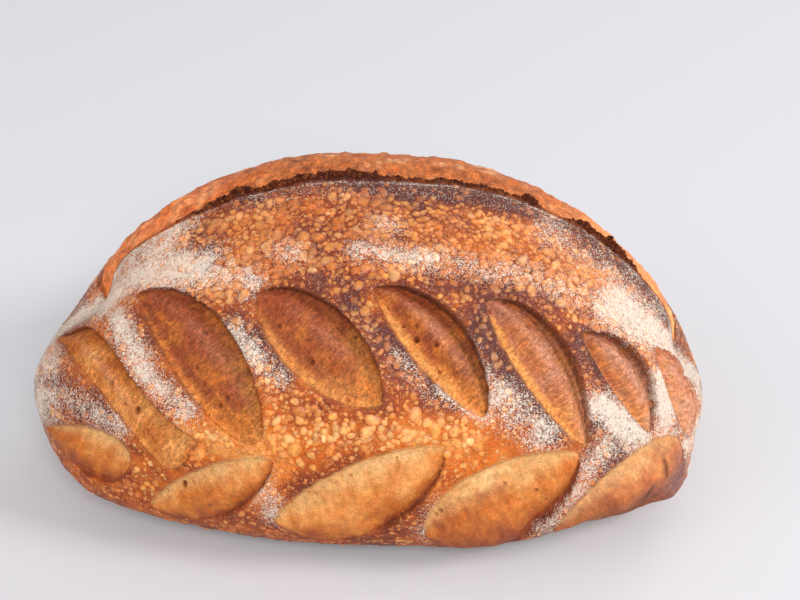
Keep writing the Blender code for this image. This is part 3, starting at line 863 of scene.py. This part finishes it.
def crustColours(place, parts):  # the colour of every point, and how thick the flour lies on it
    points, x, behind = place["points"], place["x"] / mm, place["behind"] / mm
    tint = ramp(skinBake(place), "skinGold", "skinOrange", "skinRed", "skinPurple")
    cover = flourCover(place)
    for leaf, at in zip(leafCuts, place["leaves"]):
        inside = tintedLeaf(at, place)
        tint = tint * (1 - inside)[:, None] + cutTint(leaf, at, points) * inside[:, None]
        # painted shade: a dark line along each cut's flap side, standing for the shadow the flap casts into
        # the crease
        dark = min(leaf["crease"], 1) * hill(at["across"], 0.99, 0.08) * (np.abs(at["part"] - 0.5) < 0.48)
        dark = dark * (at["beyond"] <= 0) * leafOpening(leaf, at) * place["flank"] * (1 - 0.5 * at["part"])
        tint = blendTo(tint, paint("cutBrown") * 0.5, (0.5 if leaf["lower"] else 0.85) * dark)
        cover = cover * (1 - inside)
    pitted = pitsAt(place)[0]
    # painted shade: the crumb pits darkened toward their middles, as the shade inside them
    tint = blendTo(tint, paint("charBrown") * 1.2, 0.65 * pitted**2 * parts["inCut"])
    burnt = ramp(np.clip(0.4 + 0.5 * softNoise(points, 4 * mm, 73), 0, 1), "charBrown", "charBlack")
    earTint = ramp(np.full(len(points), 0.75), "bloomOrange", "bloomBrown")
    earTint = blendTo(earTint, burnt, np.clip(tornAmount(place["x"]) * 1.4, 0, 1))
    for part, partTint in (("inBloom", bloomTint(points, x, behind)), ("onEar", earTint)):
        tint = tint * (1 - parts[part])[:, None] + partTint * parts[part][:, None]
        cover = cover * (1 - parts[part])
    tint = loafEndTint(tint, place, parts["inCut"])
    under = 1 - smoothStep(points[:, 2] / mm, 0.2, 3.0)
    tint = blendTo(tint, paint("baseBrown"), under)
    cover = np.where(under > 0.5, 0.35 + 0.3 * softNoise(points, 12 * mm, 75), cover)
    return tint, np.clip(cover, 0, 1)


def grainPlaces(place, parts):  # coordinates that stretch along each cut and along the bloom
    grain = place["points"].copy()
    for number, (leaf, at) in enumerate(zip(leafCuts, place["leaves"])):
        inside = (insideLeaf(at) > 0.5) & (place["flank"] > 0)
        along, over = (0.62, 0.50) if leaf["lower"] else (1.15, 0.5)
        deep = np.full(len(grain), 0.05 * number)
        run, side = at["part"] * at["length"] * along, at["across"] * at["half"] * over
        grain[inside] = np.stack([run, side, deep], axis=1)[inside]
    inBloom = parts["inBloom"] > 0.5
    stretched = np.stack([place["x"], 0.55 * place["behind"], np.zeros(len(grain))], axis=1)
    grain[inBloom] = stretched[inBloom]
    return grain


def putAttribute(mesh, name, kind, values):
    layer = mesh.attributes.new(name, kind, "POINT")
    if kind == "FLOAT_COLOR":
        values = np.concatenate([values, np.ones((len(values), 1))], axis=1)
        layer.data.foreach_set("color", values.astype(np.float32).ravel())
    elif kind == "FLOAT_VECTOR":
        layer.data.foreach_set("vector", values.astype(np.float32).ravel())
    else:
        layer.data.foreach_set("value", values.astype(np.float32))


def besideCoarseEdge(mesh, place, longest):  # points whose edges cross a cut's side and are still too long
    first, second = readValues(mesh.edges, "vertices", 2, np.int32).T
    length = np.linalg.norm(place["points"][first] - place["points"][second], axis=1)
    crossing = np.zeros(len(first), dtype=bool)
    for at in place["leaves"]:
        side = (1 - np.abs(at["across"])) * at["half"]
        side = np.where((at["beyond"] > 0) | (place["flank"] <= 0), -1, side)
        low, high = np.minimum(side[first], side[second]), np.maximum(side[first], side[second])
        crossing |= (low < 0.5 * mm) & (high > -0.5 * mm)
    chosen = np.zeros(len(place["x"]), dtype=bool)
    chosen[first[crossing & (length > longest)]] = True
    return chosen


def besideCutsAndEar(place):  # how far each point is from the nearest side of a cut or the ear's edge
    near = np.full(len(place["x"]), 1.0)
    for at in place["leaves"]:
        near = np.minimum(near, np.hypot((np.abs(at["across"]) - 1) * at["half"], at["beyond"]))
    near = np.where(place["flank"] > 0, near, 1)
    onSlash = (slashPlace(place["x"])[1] > 0) & (np.abs(place["behind"]) < 0.05)
    return np.minimum(near, np.where(onSlash, np.abs(place["behind"] - 2 * mm) - 1 * mm, 1))


def crustAttributes(mesh, place, parts):  # what the material needs to know of every point
    tint, cover = crustColours(place, parts)
    inLower = np.zeros(len(place["x"]), dtype=bool)
    for leaf, at in zip(leafCuts, place["leaves"]):
        inLower |= leaf["lower"] & (insideLeaf(at) > 0) & (place["flank"] > 0)
    amounts = {
        "flourCover": cover,
        "bubbleCover": np.clip(1.1 * blisterWishes(place, parts)[0], 0, 1),
        "dulled": smoothStep(skinBake(place), 0.66, 0.95),
        "cutAmount": parts["inCut"] * np.where(inLower, 0.50, 1.0),
        "calm": np.where(inLower, 0.50, 0.25) * parts["inCut"],
        "bloomAmount": np.clip(parts["inBloom"] + parts["onEar"], 0, 1),
    }
    putAttribute(mesh, "tint", "FLOAT_COLOR", tint)
    for name, values in amounts.items():
        putAttribute(mesh, name, "FLOAT", values)
    putAttribute(mesh, "grain", "FLOAT_VECTOR", grainPlaces(place, parts))


def makeCrust():
    piece = gridCube("crust", crust["grid"])
    place = placesOn(piece)
    middle, halfWidth = crust["seen"]
    seen = (np.cos(place["angle"] - middle) > math.cos(halfWidth)) & (place["points"][:, 2] > 2 * mm)
    divideWhere(piece, seen)
    divideWhere(piece, besideCutsAndEar(placesOn(piece)) < crust["edgeBand"])
    for band in crust["pitBands"]:
        divideWhere(piece, pitsAt(placesOn(piece))[1] < band)
    for longest in crust["longestAtEdge"]:
        divideWhere(piece, besideCoarseEdge(piece.data, placesOn(piece), longest))
    place = placesOn(piece)
    shaped, parts = shapedPoints(place)
    shift = centringShift()
    writePoints(piece.data, shaped + shift)
    crustAttributes(piece.data, place, parts)
    clearSelection()
    piece.select_set(True)
    bpy.context.view_layer.objects.active = piece
    editAll()
    bpy.ops.mesh.normals_make_consistent(inside=False)
    bpy.ops.object.mode_set(mode="OBJECT")
    bpy.ops.object.shade_smooth()
    return piece, place, parts, shift


# node helpers: each adds to a material's tree and hands back the socket to use


def newMaterial(name):
    material = bpy.data.materials.new(name)
    material.use_nodes = True
    return material, material.node_tree, material.node_tree.nodes["Principled BSDF"]


def opaque(colour):
    return tuple(colour) + (1.0,)


def addNode(tree, kind, settings=None, values=None):
    node = tree.nodes.new(kind)
    for key, value in (settings or {}).items():
        setattr(node, key, value)
    for key, value in (values or {}).items():
        node.inputs[key].default_value = value
    return node


def feed(tree, socket, value):
    if isinstance(value, (int, float, tuple)):
        socket.default_value = value
    else:
        tree.links.new(value, socket)


def mathNode(tree, operation, first, second=0.0):
    node = addNode(tree, "ShaderNodeMath", {"operation": operation})
    feed(tree, node.inputs[0], first)
    feed(tree, node.inputs[1], second)
    return node.outputs[0]


def spanNode(tree, value, low, high, toLow, toHigh):
    ends = {"From Min": low, "From Max": high, "To Min": toLow, "To Max": toHigh}
    node = addNode(tree, "ShaderNodeMapRange", None, ends)
    feed(tree, node.inputs["Value"], value)
    return node.outputs["Result"]


def mixColour(tree, kind, amount, first, second):
    node = addNode(tree, "ShaderNodeMix", {"data_type": "RGBA", "blend_type": kind, "clamp_factor": True})
    for number, value in ((0, amount), (6, first), (7, second)):
        feed(tree, node.inputs[number], value)
    return node.outputs[2]


def greyNode(tree, level):
    grey = addNode(tree, "ShaderNodeCombineColor")
    for socket in grey.inputs[:3]:
        feed(tree, socket, level)
    return grey.outputs["Color"]


def noiseNode(tree, vector, scale, detail, roughness=0.5, output="Fac"):
    values = {"Scale": scale, "Detail": detail, "Roughness": roughness}
    noise = addNode(tree, "ShaderNodeTexNoise", None, values)
    feed(tree, noise.inputs["Vector"], vector)
    return noise.outputs[output]


def cellsNode(tree, vector, scale):  # distance to the cell's middle, and three random numbers for the cell
    cells = addNode(tree, "ShaderNodeTexVoronoi", {"feature": "F1"}, {"Scale": scale})
    feed(tree, cells.inputs["Vector"], vector)
    lots = addNode(tree, "ShaderNodeSeparateColor")
    feed(tree, lots.inputs[0], cells.outputs["Color"])
    return cells.outputs["Distance"], lots.outputs


def setSurface(shader, look):
    shader.inputs["Roughness"].default_value = look["roughness"]
    shader.inputs["Specular IOR Level"].default_value = look["specular"]


def placeNode(tree):
    return tree.nodes.new("ShaderNodeTexCoord").outputs["Object"]


def attributeNode(tree, name, output="Fac"):
    return addNode(tree, "ShaderNodeAttribute", {"attribute_name": name}).outputs[output]


def bumpNode(tree, height, strength, distance):
    bumps = addNode(tree, "ShaderNodeBump", None, {"Strength": strength, "Distance": distance})
    feed(tree, bumps.inputs["Height"], height)
    return bumps.outputs["Normal"]


def flourNodes(tree, place, cover):  # grains of flour, closing up to a film where it lies thick
    do, span = partial(mathNode, tree), partial(spanNode, tree)
    dust = noiseNode(tree, place, 800.0, 3.0, 0.6)
    amount = do("MULTIPLY", cover, span(dust, 0.36, 0.64, 0.62, 1.32))
    amount = do("MINIMUM", amount, 0.97)
    lots = cellsNode(tree, place, 3100.0)[1]
    speck = span(do("SUBTRACT", do("MULTIPLY", amount, 1.05), lots[0]), -0.12, 0.22, 0.0, 0.86)
    speck = do("MULTIPLY", speck, span(cover, 0.0, 0.06, 0.0, 1.0))
    film = span(amount, 0.30, 0.92, 0.0, 0.58)
    return do("MAXIMUM", speck, film), speck


crustLook = {
    "skinRoughness": 0.50,
    "cutRoughness": 0.82,
    "flourRoughness": 0.92,
    "specular": 0.26,
    "noises": {  # scale, detail and roughness of each
        "fine": (1700.0, 2.0, 0.6),
        "mottle": (460.0, 4.0, 0.6),
        "crumb": (760.0, 5.0, 0.70),
        "torn": (380.0, 6.0, 0.68),
        "patch": (170.0, 3.0, 0.5),
    },
    "redPatch": (0.94, 0.72, 0.58, 1.0),
    "dullTop": (1.9, 1.7, 1.5, 1.0),  # how much paler than dark skin a small bubble on it is
    "bubbleScales": (560.0, 980.0),
    "pitScale": 260.0,
    "reliefMm": {
        "fine": 0.22,
        "mottle": 0.34,
        "cut": 1.05,
        "bloom": 1.6,
        "bubble": 0.42,
        "pit": -0.7,
        "speck": 0.10,
    },
}


def makeCrustMaterial():
    material, tree, shader = newMaterial("bakedCrust")
    do, span, mix = partial(mathNode, tree), partial(spanNode, tree), partial(mixColour, tree)

    def varied(amount, level):  # 1 where the amount is 0, the level where it is 1
        return do("ADD", do("MULTIPLY", do("SUBTRACT", level, 1.0), amount), 1.0)

    place = placeNode(tree)
    tint = attributeNode(tree, "tint", "Color")
    grain = attributeNode(tree, "grain", "Vector")
    bubbly, dulled = attributeNode(tree, "bubbleCover"), attributeNode(tree, "dulled")
    cutAmount, bloomAmount = attributeNode(tree, "cutAmount"), attributeNode(tree, "bloomAmount")
    noises = {}
    for name, how in crustLook["noises"].items():
        noises[name] = noiseNode(tree, grain if name in ("crumb", "torn") else place, *how)

    # light and dark: mottled everywhere, torn across in the cuts and the bloom
    level = span(noises["mottle"], 0.3, 0.7, 0.74, 1.24)
    level = do("MULTIPLY", level, span(noises["fine"], 0.3, 0.7, 0.74, 1.26))
    level = varied(do("SUBTRACT", 1.0, attributeNode(tree, "calm")), level)
    level = do("MULTIPLY", level, varied(cutAmount, span(noises["crumb"], 0.32, 0.68, 0.56, 1.50)))
    level = do("MULTIPLY", level, varied(bloomAmount, span(noises["torn"], 0.34, 0.64, 0.62, 1.46)))
    # painted highlights: a few cells in the cuts brightened, as the sparkle of crumb
    sparkleCells = cellsNode(tree, place, 1500.0)[1]
    level = do("MULTIPLY", level, varied(cutAmount, span(sparkleCells[0], 0.86, 1.0, 1.0, 1.5)))
    base = mix("MULTIPLY", 1.0, tint, greyNode(tree, level))
    redder = mix("MULTIPLY", 1.0, base, crustLook["redPatch"])
    base = mix("MIX", span(noises["patch"], 0.48, 0.66, 0.0, 0.65), base, redder)

    # the smallest bubbles, in two sizes, with uneven outlines
    shift = addNode(tree, "ShaderNodeVectorMath", {"operation": "SCALE"}, {"Scale": 0.0011})
    feed(tree, shift.inputs[0], noiseNode(tree, place, 800.0, 1.0, output="Color"))
    warped = addNode(tree, "ShaderNodeVectorMath", {"operation": "ADD"})
    feed(tree, warped.inputs[0], place)
    feed(tree, warped.inputs[1], shift.outputs[0])
    orange, pale = opaque(paint("skinOrange")), opaque(paint("blisterPale") * 0.85)
    dullTop = mix("MULTIPLY", 1.0, tint, crustLook["dullTop"])
    bubbleTop = 0.0
    for scale in crustLook["bubbleScales"]:
        away, lots = cellsNode(tree, warped.outputs[0], scale)
        here = span(do("SUBTRACT", bubbly, lots[0]), 0.0, 0.06, 0.0, 1.0)
        rim = do("MULTIPLY", here, span(away, 0.40, 0.60, 0.9, 0.0))
        top = do("MULTIPLY", here, span(away, 0.10, 0.52, 1.0, 0.0))
        sides = mix("MIX", 0.55, base, orange)
        gold = mix("MIX", do("POWER", lots[1], 1.6), orange, pale)
        gold = mix("MIX", do("MULTIPLY", dulled, 0.75), gold, dullTop)
        base = mix("MIX", do("MULTIPLY", rim, do("SUBTRACT", 1.0, dulled)), base, sides)
        base = mix("MIX", do("MULTIPLY", top, 0.9), base, gold)
        bubbleTop = do("MAXIMUM", bubbleTop, do("MULTIPLY", top, crustLook["bubbleScales"][0] / scale))

    # open pits in the cuts, painted dark as the shade inside them, then flour over all
    away, lots = cellsNode(tree, warped.outputs[0], crustLook["pitScale"])
    chosen = span(do("SUBTRACT", do("MULTIPLY", cutAmount, 0.10), lots[0]), 0.0, 0.02, 0.0, 1.0)
    pit = do("MULTIPLY", chosen, span(away, 0.06, 0.24, 1.0, 0.0))
    base = mix("MIX", do("MULTIPLY", pit, 0.7), base, opaque(paint("charBrown") * 1.5))
    flourMask, speck = flourNodes(tree, place, attributeNode(tree, "flourCover"))
    feed(tree, shader.inputs["Base Color"], mix("MIX", flourMask, base, opaque(paint("flour"))))
    rough = do("MULTIPLY", cutAmount, crustLook["cutRoughness"] - crustLook["skinRoughness"])
    rough = do("ADD", rough, crustLook["skinRoughness"])
    rough = do("MAXIMUM", rough, do("MULTIPLY", flourMask, crustLook["flourRoughness"]))
    feed(tree, shader.inputs["Roughness"], rough)
    shader.inputs["Specular IOR Level"].default_value = crustLook["specular"]
    heights = {
        "fine": noises["fine"],
        "mottle": noises["mottle"],
        "cut": do("MULTIPLY", noises["crumb"], cutAmount),
        "bloom": do("MULTIPLY", noises["torn"], bloomAmount),
        "bubble": bubbleTop,
        "pit": pit,
        "speck": speck,
    }
    relief = None
    for name, height in heights.items():
        raised = do("MULTIPLY", height, crustLook["reliefMm"][name])
        relief = do("ADD", relief, raised) if relief else raised
    feed(tree, shader.inputs["Normal"], bumpNode(tree, relief, 1.0, 0.001))
    return material


# blisters: small domes of gas that rose under the skin

blisters = {
    "most": 4300,
    "tries": 30000,
    "seed": 11,
    "heightPart": 0.22,
    "kinds": (  # name, sides, rings, smallest and largest radius
        ("blisters", 12, 6, 1.45 * mm, 9 * mm),
        ("fineBlisters", 10, 4, 0, 1.45 * mm),
    ),
    "radii": (0.42 * mm, 3.6 * mm),
    "closest": 0.48,  # of the two radii added
    "cell": 5 * mm,  # for finding the neighbours
    "roughness": 0.42,
    "specular": 0.45,
}


def takeTemplate(piece):  # a piece's points and faces, after which the piece itself goes
    points = readPoints(piece.data)
    faces = np.array([face.vertices[:] for face in piece.data.polygons])
    bpy.data.objects.remove(piece, do_unlink=True)
    return points, faces


def joinedPiece(name, points, faces):  # one piece from many copies, each with its own points
    mesh = bpy.data.meshes.new(name)
    mesh.from_pydata(np.concatenate(points).tolist(), [], np.concatenate(faces).tolist())
    mesh.shade_smooth()
    piece = bpy.data.objects.new(name, mesh)
    bpy.context.scene.collection.objects.link(piece)
    print(name, len(points), "copies", len(mesh.polygons), "triangles")
    return piece


def domeTemplate(sides, rings):  # one blister: a sphere's upper half, closed below, its rim drawn out flat
    clearSelection()
    bpy.ops.mesh.primitive_uv_sphere_add(segments=sides, ring_count=rings, radius=1)
    editAll()
    bpy.ops.mesh.bisect(plane_co=(0, 0, 0.001), plane_no=(0, 0, 1), clear_inner=True, use_fill=True)
    bpy.ops.mesh.select_all(action="SELECT")
    bpy.ops.mesh.quads_convert_to_tris()
    bpy.ops.mesh.normals_make_consistent(inside=False)
    bpy.ops.object.mode_set(mode="OBJECT")
    points, faces = takeTemplate(bpy.context.object)
    away = np.hypot(points[:, 0], points[:, 1])
    points[:, 2] = np.clip(1 - away**2, 0, 1) ** 1.15
    return points, faces


def blisterWishes(place, parts):  # how likely and how large a blister is, and how much room it has
    x, behind = place["x"] / mm, place["behind"] / mm
    points = place["points"]

    def along(amount, *line):
        return amount * streak(place, *line)

    rim = 3.5 + 5 * smoothStep(x, 0, 30)
    upper = smoothStep(behind, -50, -42) * (1 - smoothStep(behind, -rim - 4, -rim)) * smoothStep(x, -82, -56)
    upper = upper * (place["flank"] > 0) * (behind < 0)
    upper = upper * np.clip(0.72 + 0.60 * softNoise(points, 12 * mm, 80), 0.2, 1)
    spine = along(1, (-64, -4), (36, -4), 8)
    strips = np.maximum.reduce([
        along(1, (-44, 22), (-24, 6), 6),
        along(1, (-4, 38), (24, 8), 6),
        along(0.55, (36, 36), (50, 16), 5),
        along(0.35, (80, 26), (94, 4), 5),
    ])
    rims = np.maximum.reduce([
        along(1, (-104, -10), (-84, -22), 7),
        along(0.9, (-78, -12), (-56, -12), 7),
        along(0.7, (10, -16), (34, -24), 6),
    ])
    back = (behind > 58) * (0.5 + 0.5 * softNoise(points, 20 * mm, 81)) * 0.7
    spine = spine * (0.85 + 0.35 * softNoise(points, 8 * mm, 82))
    plain = 0.22 + 0.16 * (place["flank"] > 0)
    wish = np.maximum.reduce([0.85 * upper, 1.0 * spine, 0.55 * strips, 0.8 * rims, back, plain])
    wish = wish * (parts["skin"] > 0.98) * (points[:, 2] > 5 * mm)
    wish = wish * (1 - 0.6 * np.clip(flourCover(place), 0, 1))
    size = 0.70 + 0.68 * upper + 0.24 * spine + 0.24 * strips + 0.08 * rims + 0.30 * (behind > 58)
    room = np.full(len(x), 1.0)
    for at in place["leaves"]:
        room = np.minimum(room, np.hypot(np.maximum(np.abs(at["across"]) - 1, 0) * at["half"], at["beyond"]))
    return wish, size * mm, spine, np.where(place["flank"] > 0, room, 1.0), upper


def blisterSpots(mesh, points, wish, rng):  # random spots: the nearest point, the centre, the way out
    normals = readValues(mesh.vertices, "normal", 3)
    mesh.calc_loop_triangles()
    corners = readValues(mesh.loop_triangles, "vertices", 3, np.int32)
    odds = wish[corners].min(axis=1) * readValues(mesh.loop_triangles, "area", 1)[:, 0]
    spots = corners[rng.choice(len(corners), size=blisters["tries"], p=odds / odds.sum())]
    weights = rng.dirichlet((1, 1, 1), len(spots))
    picks = spots[np.arange(len(spots)), weights.argmax(axis=1)]
    centres = np.sum(points[spots] * weights[:, :, None], axis=1)
    facing = np.sum(normals[spots] * weights[:, :, None], axis=1)
    return picks, centres, facing / np.linalg.norm(facing, axis=1)[:, None]


def spacedOut(order, centres, radii):  # the first ones in the order that don't crowd each other
    cells, chosen = {}, []
    for pick in order:
        if len(chosen) >= blisters["most"]:
            break
        centre, radius = centres[pick], radii[pick]
        home = np.floor(centre / blisters["cell"]).astype(int)
        key = tuple(home)
        near = [other for step in nearCells for other in cells.get(tuple(home + step), ())]
        closest = blisters["closest"]
        if all(np.sum((other - centre) ** 2) >= (closest * (radius + reach)) ** 2 for other, reach in near):
            cells.setdefault(key, []).append((centre, radius))
            chosen.append(pick)
    return chosen


def blisterDome(template, radius, normal, rng):  # the template with an uneven outline, stood on the surface
    turn = np.arctan2(template[:, 1], template[:, 0])
    side = np.cross(normal, rng.normal(size=3))
    side = side / np.linalg.norm(side)
    other = np.cross(normal, side)
    swing = rng.uniform(0, 2 * math.pi, 3)
    lump = 1 + 0.14 * np.cos(2 * turn + swing[0]) + 0.08 * np.cos(3 * turn + swing[1])
    lump = (lump + 0.04 * np.cos(5 * turn + swing[2]))[:, None] * radius
    dome = template[:, :1] * side * lump + template[:, 1:2] * other * lump * rng.uniform(0.72, 1.0)
    tall = blisters["heightPart"] * rng.uniform(0.6, 1.3) * radius
    return dome + template[:, 2:] * normal * tall - normal * 0.03 * radius


def blisterTint(top, skin, bake, spine, upper, settled, rng):  # like the skin, with a gold or pale crown
    orange, gold, pale = paint("skinOrange"), paint("blisterGold"), paint("blisterPale")
    paleness = np.clip(rng.normal(0.00, 0.22) + 0.36 * spine, 0, 1)
    crown = gold + (pale - gold) * paleness
    crown = crown + (orange - crown) * rng.uniform(0, 0.85) ** 1.5 * (1 - 0.4 * spine)
    dulled = np.clip((bake - 0.70) / 0.3, 0, 1) * (1 - paleness)
    crown = crown + (skin * 1.7 - crown) * 0.55 * dulled
    crown = crown * rng.uniform(0.88, 1.10) * (1.16 - 0.28 * bake)
    crown = crown + (0.6 * orange + 0.7 * skin - crown) * settled
    crown = crown * (1, 1.04, 1 + 0.40 * min(upper, 1))
    foot = skin * 1.08
    flank = 0.5 * (orange * (1.1 - 0.5 * dulled) + skin)
    tint = foot + (flank - foot) * np.clip(top / 0.35, 0, 1)
    return tint + (crown - tint) * np.clip((top - 0.22) / 0.60, 0, 1) ** 0.8


def makeBlisters(place, parts, crustPiece):
    rng = np.random.default_rng(blisters["seed"])
    mesh = crustPiece.data
    points = readPoints(mesh)
    skinTints = readValues(mesh.attributes["tint"].data, "color", 4)[:, :3]
    wish, size, spine, room, upper = blisterWishes(place, parts)
    cover, bakes = flourCover(place), skinBake(place)
    picks, centres, facing = blisterSpots(mesh, points, wish, rng)
    spread = 0.46 + 0.14 * spine[picks]
    radii = size[picks] * np.exp(spread * rng.normal(-0.1, 1.0, len(picks)))
    radii = np.minimum(radii, 0.35 * mm + 0.8 * room[picks])
    radii = np.clip(radii, *blisters["radii"])
    chosen = spacedOut(np.argsort(-radii * rng.uniform(0.35, 1.0, len(picks))), centres, radii)
    settled = np.clip(0.30 + 0.60 * softNoise(points, 10 * mm, 83), 0, 0.8) * (1 - 0.8 * spine)
    pieces = []
    for name, sides, rings, least, most in blisters["kinds"]:
        template, faces = domeTemplate(sides, rings)
        allPoints, allFaces, allTints, allCovers = [], [], [], []
        for pick in chosen:
            if not least <= radii[pick] < most:
                continue
            at = picks[pick]
            allPoints.append(centres[pick] + blisterDome(template, radii[pick], facing[pick], rng))
            allFaces.append(faces + len(template) * len(allFaces))
            about = skinTints[at], bakes[at], spine[at], upper[at], settled[at]
            allTints.append(blisterTint(template[:, 2:], *about, rng))
            allCovers.append(np.full(len(template), cover[at] * 0.8))
        piece = joinedPiece(name, allPoints, allFaces)
        putAttribute(piece.data, "tint", "FLOAT_COLOR", np.concatenate(allTints))
        putAttribute(piece.data, "flourCover", "FLOAT", np.concatenate(allCovers))
        pieces.append(piece)
    return pieces


def makeBlisterMaterial():
    material, tree, shader = newMaterial("blisteredSkin")
    do, span, mix = partial(mathNode, tree), partial(spanNode, tree), partial(mixColour, tree)
    place = placeNode(tree)
    speckle = noiseNode(tree, place, 1100.0, 3.0)
    mottle = noiseNode(tree, place, 430.0, 3.0)
    level = do("MULTIPLY", span(speckle, 0.3, 0.7, 0.82, 1.16), span(mottle, 0.32, 0.68, 0.70, 1.22))
    base = mix("MULTIPLY", 1.0, attributeNode(tree, "tint", "Color"), greyNode(tree, level))
    flourMask = flourNodes(tree, place, attributeNode(tree, "flourCover"))[0]
    feed(tree, shader.inputs["Base Color"], mix("MIX", flourMask, base, opaque(paint("flour"))))
    setSurface(shader, blisters)
    feed(tree, shader.inputs["Normal"], bumpNode(tree, speckle, 0.5, 0.0003))
    return material


# burnt crumbs along the torn edge of the ear

earCrumbs = {
    "most": 2300,
    "seed": 5,
    "smallest": 0.28 * mm,
    "largest": 1.05 * mm,
    "roughness": 0.75,
    "specular": 0.15,
}


def makeEarCrumbs(place, crustPiece):
    rng = np.random.default_rng(earCrumbs["seed"])
    points = readPoints(crustPiece.data)
    normals = readValues(crustPiece.data.vertices, "normal", 3)
    behind = place["behind"] / mm
    torn = tornAmount(place["x"])
    onTop = place["angle"] > 1
    wish = torn**1.3 * hill(behind, 2.3, 1.6) * (behind > 0.5) * onTop
    wish = wish * (slashPlace(place["x"])[1] > 0)
    clearSelection()
    bpy.ops.mesh.primitive_ico_sphere_add(subdivisions=1, radius=1)
    template, faces = takeTemplate(bpy.context.object)
    picks = rng.choice(len(points), size=earCrumbs["most"], p=wish / wish.sum())
    allPoints, allFaces = [], []
    for number, vertex in enumerate(picks):
        radius = earCrumbs["smallest"] + (earCrumbs["largest"] - earCrumbs["smallest"]) * rng.random() ** 3
        radius = radius * (0.6 + 0.4 * torn[vertex])
        knobbly = 1 + 0.36 * layeredNoise(template + 7.0 * number, 0.8, 2, 91)
        stretch = rng.uniform(0.75, 1.35, 3)
        centre = points[vertex] + normals[vertex] * radius * rng.uniform(-0.5, 0.25)
        allPoints.append(centre + template * knobbly[:, None] * stretch * radius)
        allFaces.append(faces + number * len(template))
    piece = joinedPiece("earCrumbs", allPoints, allFaces)
    shade = np.repeat(rng.random(len(picks)), len(template))
    tint = ramp(np.clip(shade, 0, 1), "charBlack", "charBrown", "charBrown", "charRed")
    putAttribute(piece.data, "tint", "FLOAT_COLOR", tint)
    return piece


def makeCharMaterial():
    material, tree, shader = newMaterial("burntCrumb")
    rough = noiseNode(tree, placeNode(tree), 1800.0, 4.0, 0.65)
    level = spanNode(tree, rough, 0.3, 0.7, 0.55, 1.5)
    colour = mixColour(tree, "MULTIPLY", 1.0, attributeNode(tree, "tint", "Color"), greyNode(tree, level))
    feed(tree, shader.inputs["Base Color"], colour)
    setSurface(shader, earCrumbs)
    feed(tree, shader.inputs["Normal"], bumpNode(tree, rough, 1.0, 0.0005))
    return material


# the studio: floor, light and camera

studio = {
    "floorSize": 6.0,
    "floorColour": (0.60, 0.600, 0.628),
    "roughness": 0.8,
    "specular": 0.1,
    "cameraTarget": (0.0116, 0.0020, 0.0644),
    "cameraDistance": 0.5804,
    "cameraElevation": math.radians(35),
    "cameraLens": 65,
    "skyColour": (0.98, 0.985, 1.0),
    "skyStrength": 0.54,
    "lampColour": (1.0, 0.985, 0.97),
    "lampTarget": (0, 0, 0.05),
    "lamps": (  # name, place, size, power
        ("windowRight", (2.4, -0.6, 1.8), 1.0, 46.0),
        ("windowFront", (0.4, -2.4, 2.0), 1.6, 66.0),
        ("wallLeft", (-2.0, -1.0, 1.6), 1.6, 9.0),
        ("wallBack", (1.2, 1.8, 1.6), 1.2, 12.0),
    ),
}


def areaLight(name, location, size, power):
    light = bpy.data.lights.new(name, "AREA")
    light.shape = "DISK"
    light.size = size
    light.energy = power
    light.color = studio["lampColour"]
    lamp = bpy.data.objects.new(name, light)
    bpy.context.scene.collection.objects.link(lamp)
    lamp.location = location
    toward = Vector(studio["lampTarget"]) - Vector(location)
    lamp.rotation_euler = toward.to_track_quat("-Z", "Y").to_euler()


def makeStudio():
    clearSelection()
    bpy.ops.mesh.primitive_plane_add(size=studio["floorSize"], location=(0, 0, 0))
    floor = bpy.context.object
    floor.name = "floor"
    material, _, shader = newMaterial("paleFloor")
    shader.inputs["Base Color"].default_value = opaque(studio["floorColour"])
    setSurface(shader, studio)
    floor.data.materials.append(material)
    world = bpy.data.worlds.new("softRoom")
    bpy.context.scene.world = world
    world.use_nodes = True
    sky = world.node_tree.nodes["Background"]
    sky.inputs["Color"].default_value = opaque(studio["skyColour"])
    sky.inputs["Strength"].default_value = studio["skyStrength"]
    for lamp in studio["lamps"]:
        areaLight(*lamp)
    elevation = studio["cameraElevation"]
    lens = bpy.data.cameras.new("camera")
    lens.lens = studio["cameraLens"]
    camera = bpy.data.objects.new("camera", lens)
    bpy.context.scene.collection.objects.link(camera)
    back = Vector((0, -math.cos(elevation), math.sin(elevation)))
    camera.location = Vector(studio["cameraTarget"]) + back * studio["cameraDistance"]
    camera.rotation_euler = (math.pi / 2 - elevation, 0, 0)
    bpy.context.scene.camera = camera
    bpy.context.scene.view_settings.view_transform = "Standard"


makeStudio()
print("studio ready")
crustPiece, crustPlace, crustParts, shift = makeCrust()
crustPiece.data.materials.append(makeCrustMaterial())
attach(crustPiece, "root")
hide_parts("loaf")
print("crust", sum(len(face.vertices) - 2 for face in crustPiece.data.polygons), "triangles, moved", shift)
blisteredSkin = makeBlisterMaterial()
for blisterPiece in makeBlisters(crustPlace, crustParts, crustPiece):
    blisterPiece.data.materials.append(blisteredSkin)
    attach(blisterPiece, "root")
crumbPiece = makeEarCrumbs(crustPlace, crustPiece)
crumbPiece.data.materials.append(makeCharMaterial())
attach(crumbPiece, "root")
